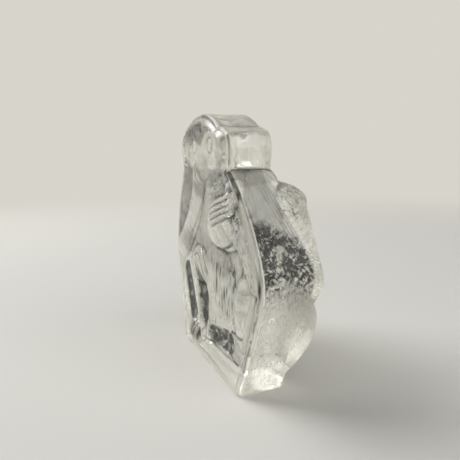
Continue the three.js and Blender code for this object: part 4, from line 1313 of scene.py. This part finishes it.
# What a user can change
class MonkeySizes(bpy.types.PropertyGroup):
    """Depths of the carving and the look of the glass."""

    fur_depth: FloatProperty(
        name="Fur depth", description="Depth of the strokes of hair and fur", default=0.55 * MM, unit="LENGTH"
    )
    cast_depth: FloatProperty(
        name="Cast depth", description="Depth of the mould's rough skin", default=0.6 * MM, unit="LENGTH"
    )
    finger_rise: FloatProperty(
        name="Finger rise", description="How far the fingers stand out", default=1.2 * MM, unit="LENGTH"
    )
    toe_rise: FloatProperty(
        name="Toe rise", description="How far the toes stand out", default=0.9 * MM, unit="LENGTH"
    )
    line_depth: FloatProperty(
        name="Line depth", description="Depth of the cut lines between forms", default=0.6 * MM, unit="LENGTH"
    )
    glass_tint: FloatVectorProperty(
        name="Glass tint", description="Colour of clear glass", default=(0.97, 0.96, 0.89), subtype="COLOR"
    )
    # Dark colour of the painted shade, and how much painted shade the hollows of the flakes get
    painted_shade_tint: FloatVectorProperty(
        name="Painted shade tint", description="Colour of smoky glass", default=(0.006, 0.006, 0.005), subtype="COLOR"
    )
    flake_painted_shade: FloatProperty(
        name="Flake shade", description="How smoky the hollows of the flakes are", default=0.7
    )
    clearness: FloatProperty(
        name="Clearness", description="Share of the light that goes into the glass", default=0.84
    )
    glass_ior: FloatProperty(name="Glass IOR", description="Refractive index of the glass", default=1.5)
    polish: FloatProperty(name="Polish", description="Roughness of the polished glass", default=0.02)
    frost: FloatProperty(name="Frost", description="What the roughest places add to that", default=0.5)


class StudioSizes(bpy.types.PropertyGroup):
    """The floor, the lamps and the camera."""

    floor_colour: FloatVectorProperty(
        name="Floor colour", description="Colour of the floor", default=(0.62, 0.61, 0.575), subtype="COLOR"
    )
    wall_colour: FloatVectorProperty(
        name="Wall colour", description="Colour of the wall", default=(0.68, 0.66, 0.60), subtype="COLOR"
    )
    room_colour: FloatVectorProperty(
        name="Room colour", description="What the glass mirrors", default=(0.92, 0.90, 0.82), subtype="COLOR"
    )
    window_power: FloatProperty(
        name="Window power", description="Power of the lamp on the left", default=64.0, unit="POWER"
    )
    fill_power: FloatProperty(
        name="Fill power", description="Power of the lamp on the right", default=26.0, unit="POWER"
    )
    camera_place: FloatVectorProperty(
        name="Camera place",
        description="Where the camera stands",
        default=(196.5 * MM, -87.8 * MM, 103.7 * MM),
        subtype="TRANSLATION",
    )
    camera_pitch: FloatProperty(
        name="Camera pitch", description="Downward tilt", default=math.radians(10.02), subtype="ANGLE"
    )
    camera_turn: FloatProperty(
        name="Camera turn", description="Azimuth of the view", default=math.radians(66.63), subtype="ANGLE"
    )
    camera_roll: FloatProperty(
        name="Camera roll", description="Roll of the camera", default=math.radians(-0.77), subtype="ANGLE"
    )
    lens: FloatProperty(name="Lens", description="Focal length in millimetres", default=35.35)


class OBJECT_OT_glass_monkey(bpy.types.Operator):
    """Make the pressed glass monkey in place of its plain solid"""

    bl_idname = "object.glass_monkey"
    bl_label = "Glass monkey"

    def execute(self, context):
        sizes = context.scene.monkey_sizes
        points, quads, marks = skin(Glass(sizes))
        rough, painted_shade, flaky = marks.T
        fine, broad = crevices(points, quads)
        # Painted shade in the crevices, added to the marks' painted shade
        painted_shade = painted_shade + PAINTED_SHADE["fine crevice"] * fine + PAINTED_SHADE["broad crevice"] * broad
        layers = {"rough": rough, "painted_shade": np.clip(painted_shade, 0.0, 1.0), "flaky": flaky}
        monkey = mesh_object("pressed_glass_monkey", fitted(points), quads, layers, clear_glass(sizes))
        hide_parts(NODE)
        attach(monkey, "root")
        return {"FINISHED"}


def area_lamp(name, place, size, power):
    """A square lamp at a place, turned to the middle of the figurine."""
    lamp = bpy.data.lights.new(name, "AREA")
    lamp.shape = "RECTANGLE"
    lamp.size = size
    lamp.size_y = size
    lamp.energy = power
    obj = bpy.data.objects.new(name, lamp)
    bpy.context.scene.collection.objects.link(obj)
    direction = Vector(LAMP_TARGET) - Vector(place)
    obj.matrix_world = Matrix.Translation(place) @ direction.to_track_quat("-Z", "Y").to_matrix().to_4x4()


def sweep_backdrop(studio):
    """A pale floor that curves up into a wall on the far side of the figurine from the camera: a profile of a
    floor line, a quarter circle and a wall line, carried sideways."""
    angle = np.linspace(0.0, 0.5 * math.pi, BEND_STEPS)[1:]
    floor = np.linspace(-FLOOR_NEAR, FLOOR_REACH, FLOOR_STEPS)
    bend_run, bend_lift = FLOOR_REACH + BEND_RADIUS * np.sin(angle), BEND_RADIUS * (1.0 - np.cos(angle))
    run = np.concatenate([floor, bend_run, [FLOOR_REACH + BEND_RADIUS]])
    lift = np.concatenate([np.zeros(FLOOR_STEPS), bend_lift, [WALL_TOP]]) - FLOOR_GAP
    side = np.linspace(-FLOOR_HALF, FLOOR_HALF, SIDE_STEPS)
    u, v = np.meshgrid(np.arange(len(run)), side, indexing="ij")
    away = np.array([-math.sin(studio.camera_turn), math.cos(studio.camera_turn)])
    across = np.array([away[1], -away[0]])
    xy = run[u][..., None] * away + v[..., None] * across
    points = np.concatenate([xy, lift[u][..., None]], axis=-1).reshape(-1, 3)
    quads = grid_quads(np.arange(u.size).reshape(u.shape))
    material = studio_paint("pale_paint", studio.floor_colour, studio.wall_colour)
    return mesh_object("backdrop", points, quads, {}, material)


def pale_world(tree, wall, room):
    """A dim grey world: the camera sees the pale wall's colour, the glass reflects and shows a paler room."""
    dim = tree.nodes["Background"]
    feed(tree, dim, {"Color": (*WORLD_COLOUR, 1.0), "Strength": WORLD_STRENGTH})
    light = dim.outputs["Background"]
    path = node(tree, "LightPath", {}).outputs
    in_glass = joint(tree, "MAXIMUM", path["Is Glossy Ray"], path["Is Transmission Ray"])
    for colour, seen in ((room, in_glass), (wall, path["Is Camera Ray"])):
        pale = node(tree, "Background", {"Color": (*colour, 1.0)})
        light = blended(tree, seen, light, pale.outputs["Background"])
    feed(tree, tree.nodes["World Output"], {"Surface": light})


class SCENE_OT_monkey_stage(bpy.types.Operator):
    """Make the pale floor and wall, the lamps and the camera"""

    bl_idname = "scene.monkey_stage"
    bl_label = "Stage"

    def execute(self, context):
        scene = context.scene
        studio = scene.studio_sizes
        sweep_backdrop(studio)

        scene.view_settings.view_transform = "Standard"
        world = bpy.data.worlds.new("studio")
        scene.world = world
        world.use_nodes = True
        pale_world(world.node_tree, studio.wall_colour, studio.room_colour)

        area_lamp("window", WINDOW_PLACE, WINDOW_SIZE, studio.window_power)
        area_lamp("fill", FILL_PLACE, FILL_SIZE, studio.fill_power)

        camera = bpy.data.cameras.new("camera")
        camera.lens = studio.lens
        camera.clip_start = 0.01
        obj = bpy.data.objects.new("camera", camera)
        scene.collection.objects.link(obj)
        pitch, turn, roll = studio.camera_pitch, studio.camera_turn, studio.camera_roll
        look = Vector((-math.sin(turn) * math.cos(pitch), math.cos(turn) * math.cos(pitch), -math.sin(pitch)))
        right = look.cross(Vector((0.0, 0.0, 1.0))).normalized()
        up = right.cross(look)
        level_right = right * math.cos(roll) + up * math.sin(roll)
        level_up = up * math.cos(roll) - right * math.sin(roll)
        turned = Matrix((level_right, level_up, -look)).transposed()
        obj.matrix_world = Matrix.Translation(studio.camera_place) @ turned.to_4x4()
        scene.camera = obj
        return {"FINISHED"}


class VIEW3D_PT_monkey(bpy.types.Panel):
    """Lists the sizes and the operators"""

    bl_label = "Pressed glass monkey"
    bl_idname = "VIEW3D_PT_monkey"
    bl_space_type = "VIEW_3D"
    bl_region_type = "UI"
    bl_category = "Monkey"

    def draw(self, context):
        for group in (context.scene.monkey_sizes, context.scene.studio_sizes):
            for name in group.__annotations__:
                self.layout.prop(group, name)
        for operator in OPERATORS:
            self.layout.operator(operator.bl_idname)


OPERATORS = (SCENE_OT_monkey_stage, OBJECT_OT_glass_monkey)
CLASSES = (MonkeySizes, StudioSizes, *OPERATORS, VIEW3D_PT_monkey)


def register():
    for cls in CLASSES:
        bpy.utils.register_class(cls)
    bpy.types.Scene.monkey_sizes = PointerProperty(type=MonkeySizes)
    bpy.types.Scene.studio_sizes = PointerProperty(type=StudioSizes)


def unregister():
    del bpy.types.Scene.studio_sizes
    del bpy.types.Scene.monkey_sizes
    for cls in reversed(CLASSES):
        bpy.utils.unregister_class(cls)


def main():
    """Registers the add-on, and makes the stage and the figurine."""
    register()
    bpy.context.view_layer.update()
    bpy.ops.scene.monkey_stage()
    bpy.ops.object.glass_monkey()


if __name__ == "__main__":
    main()
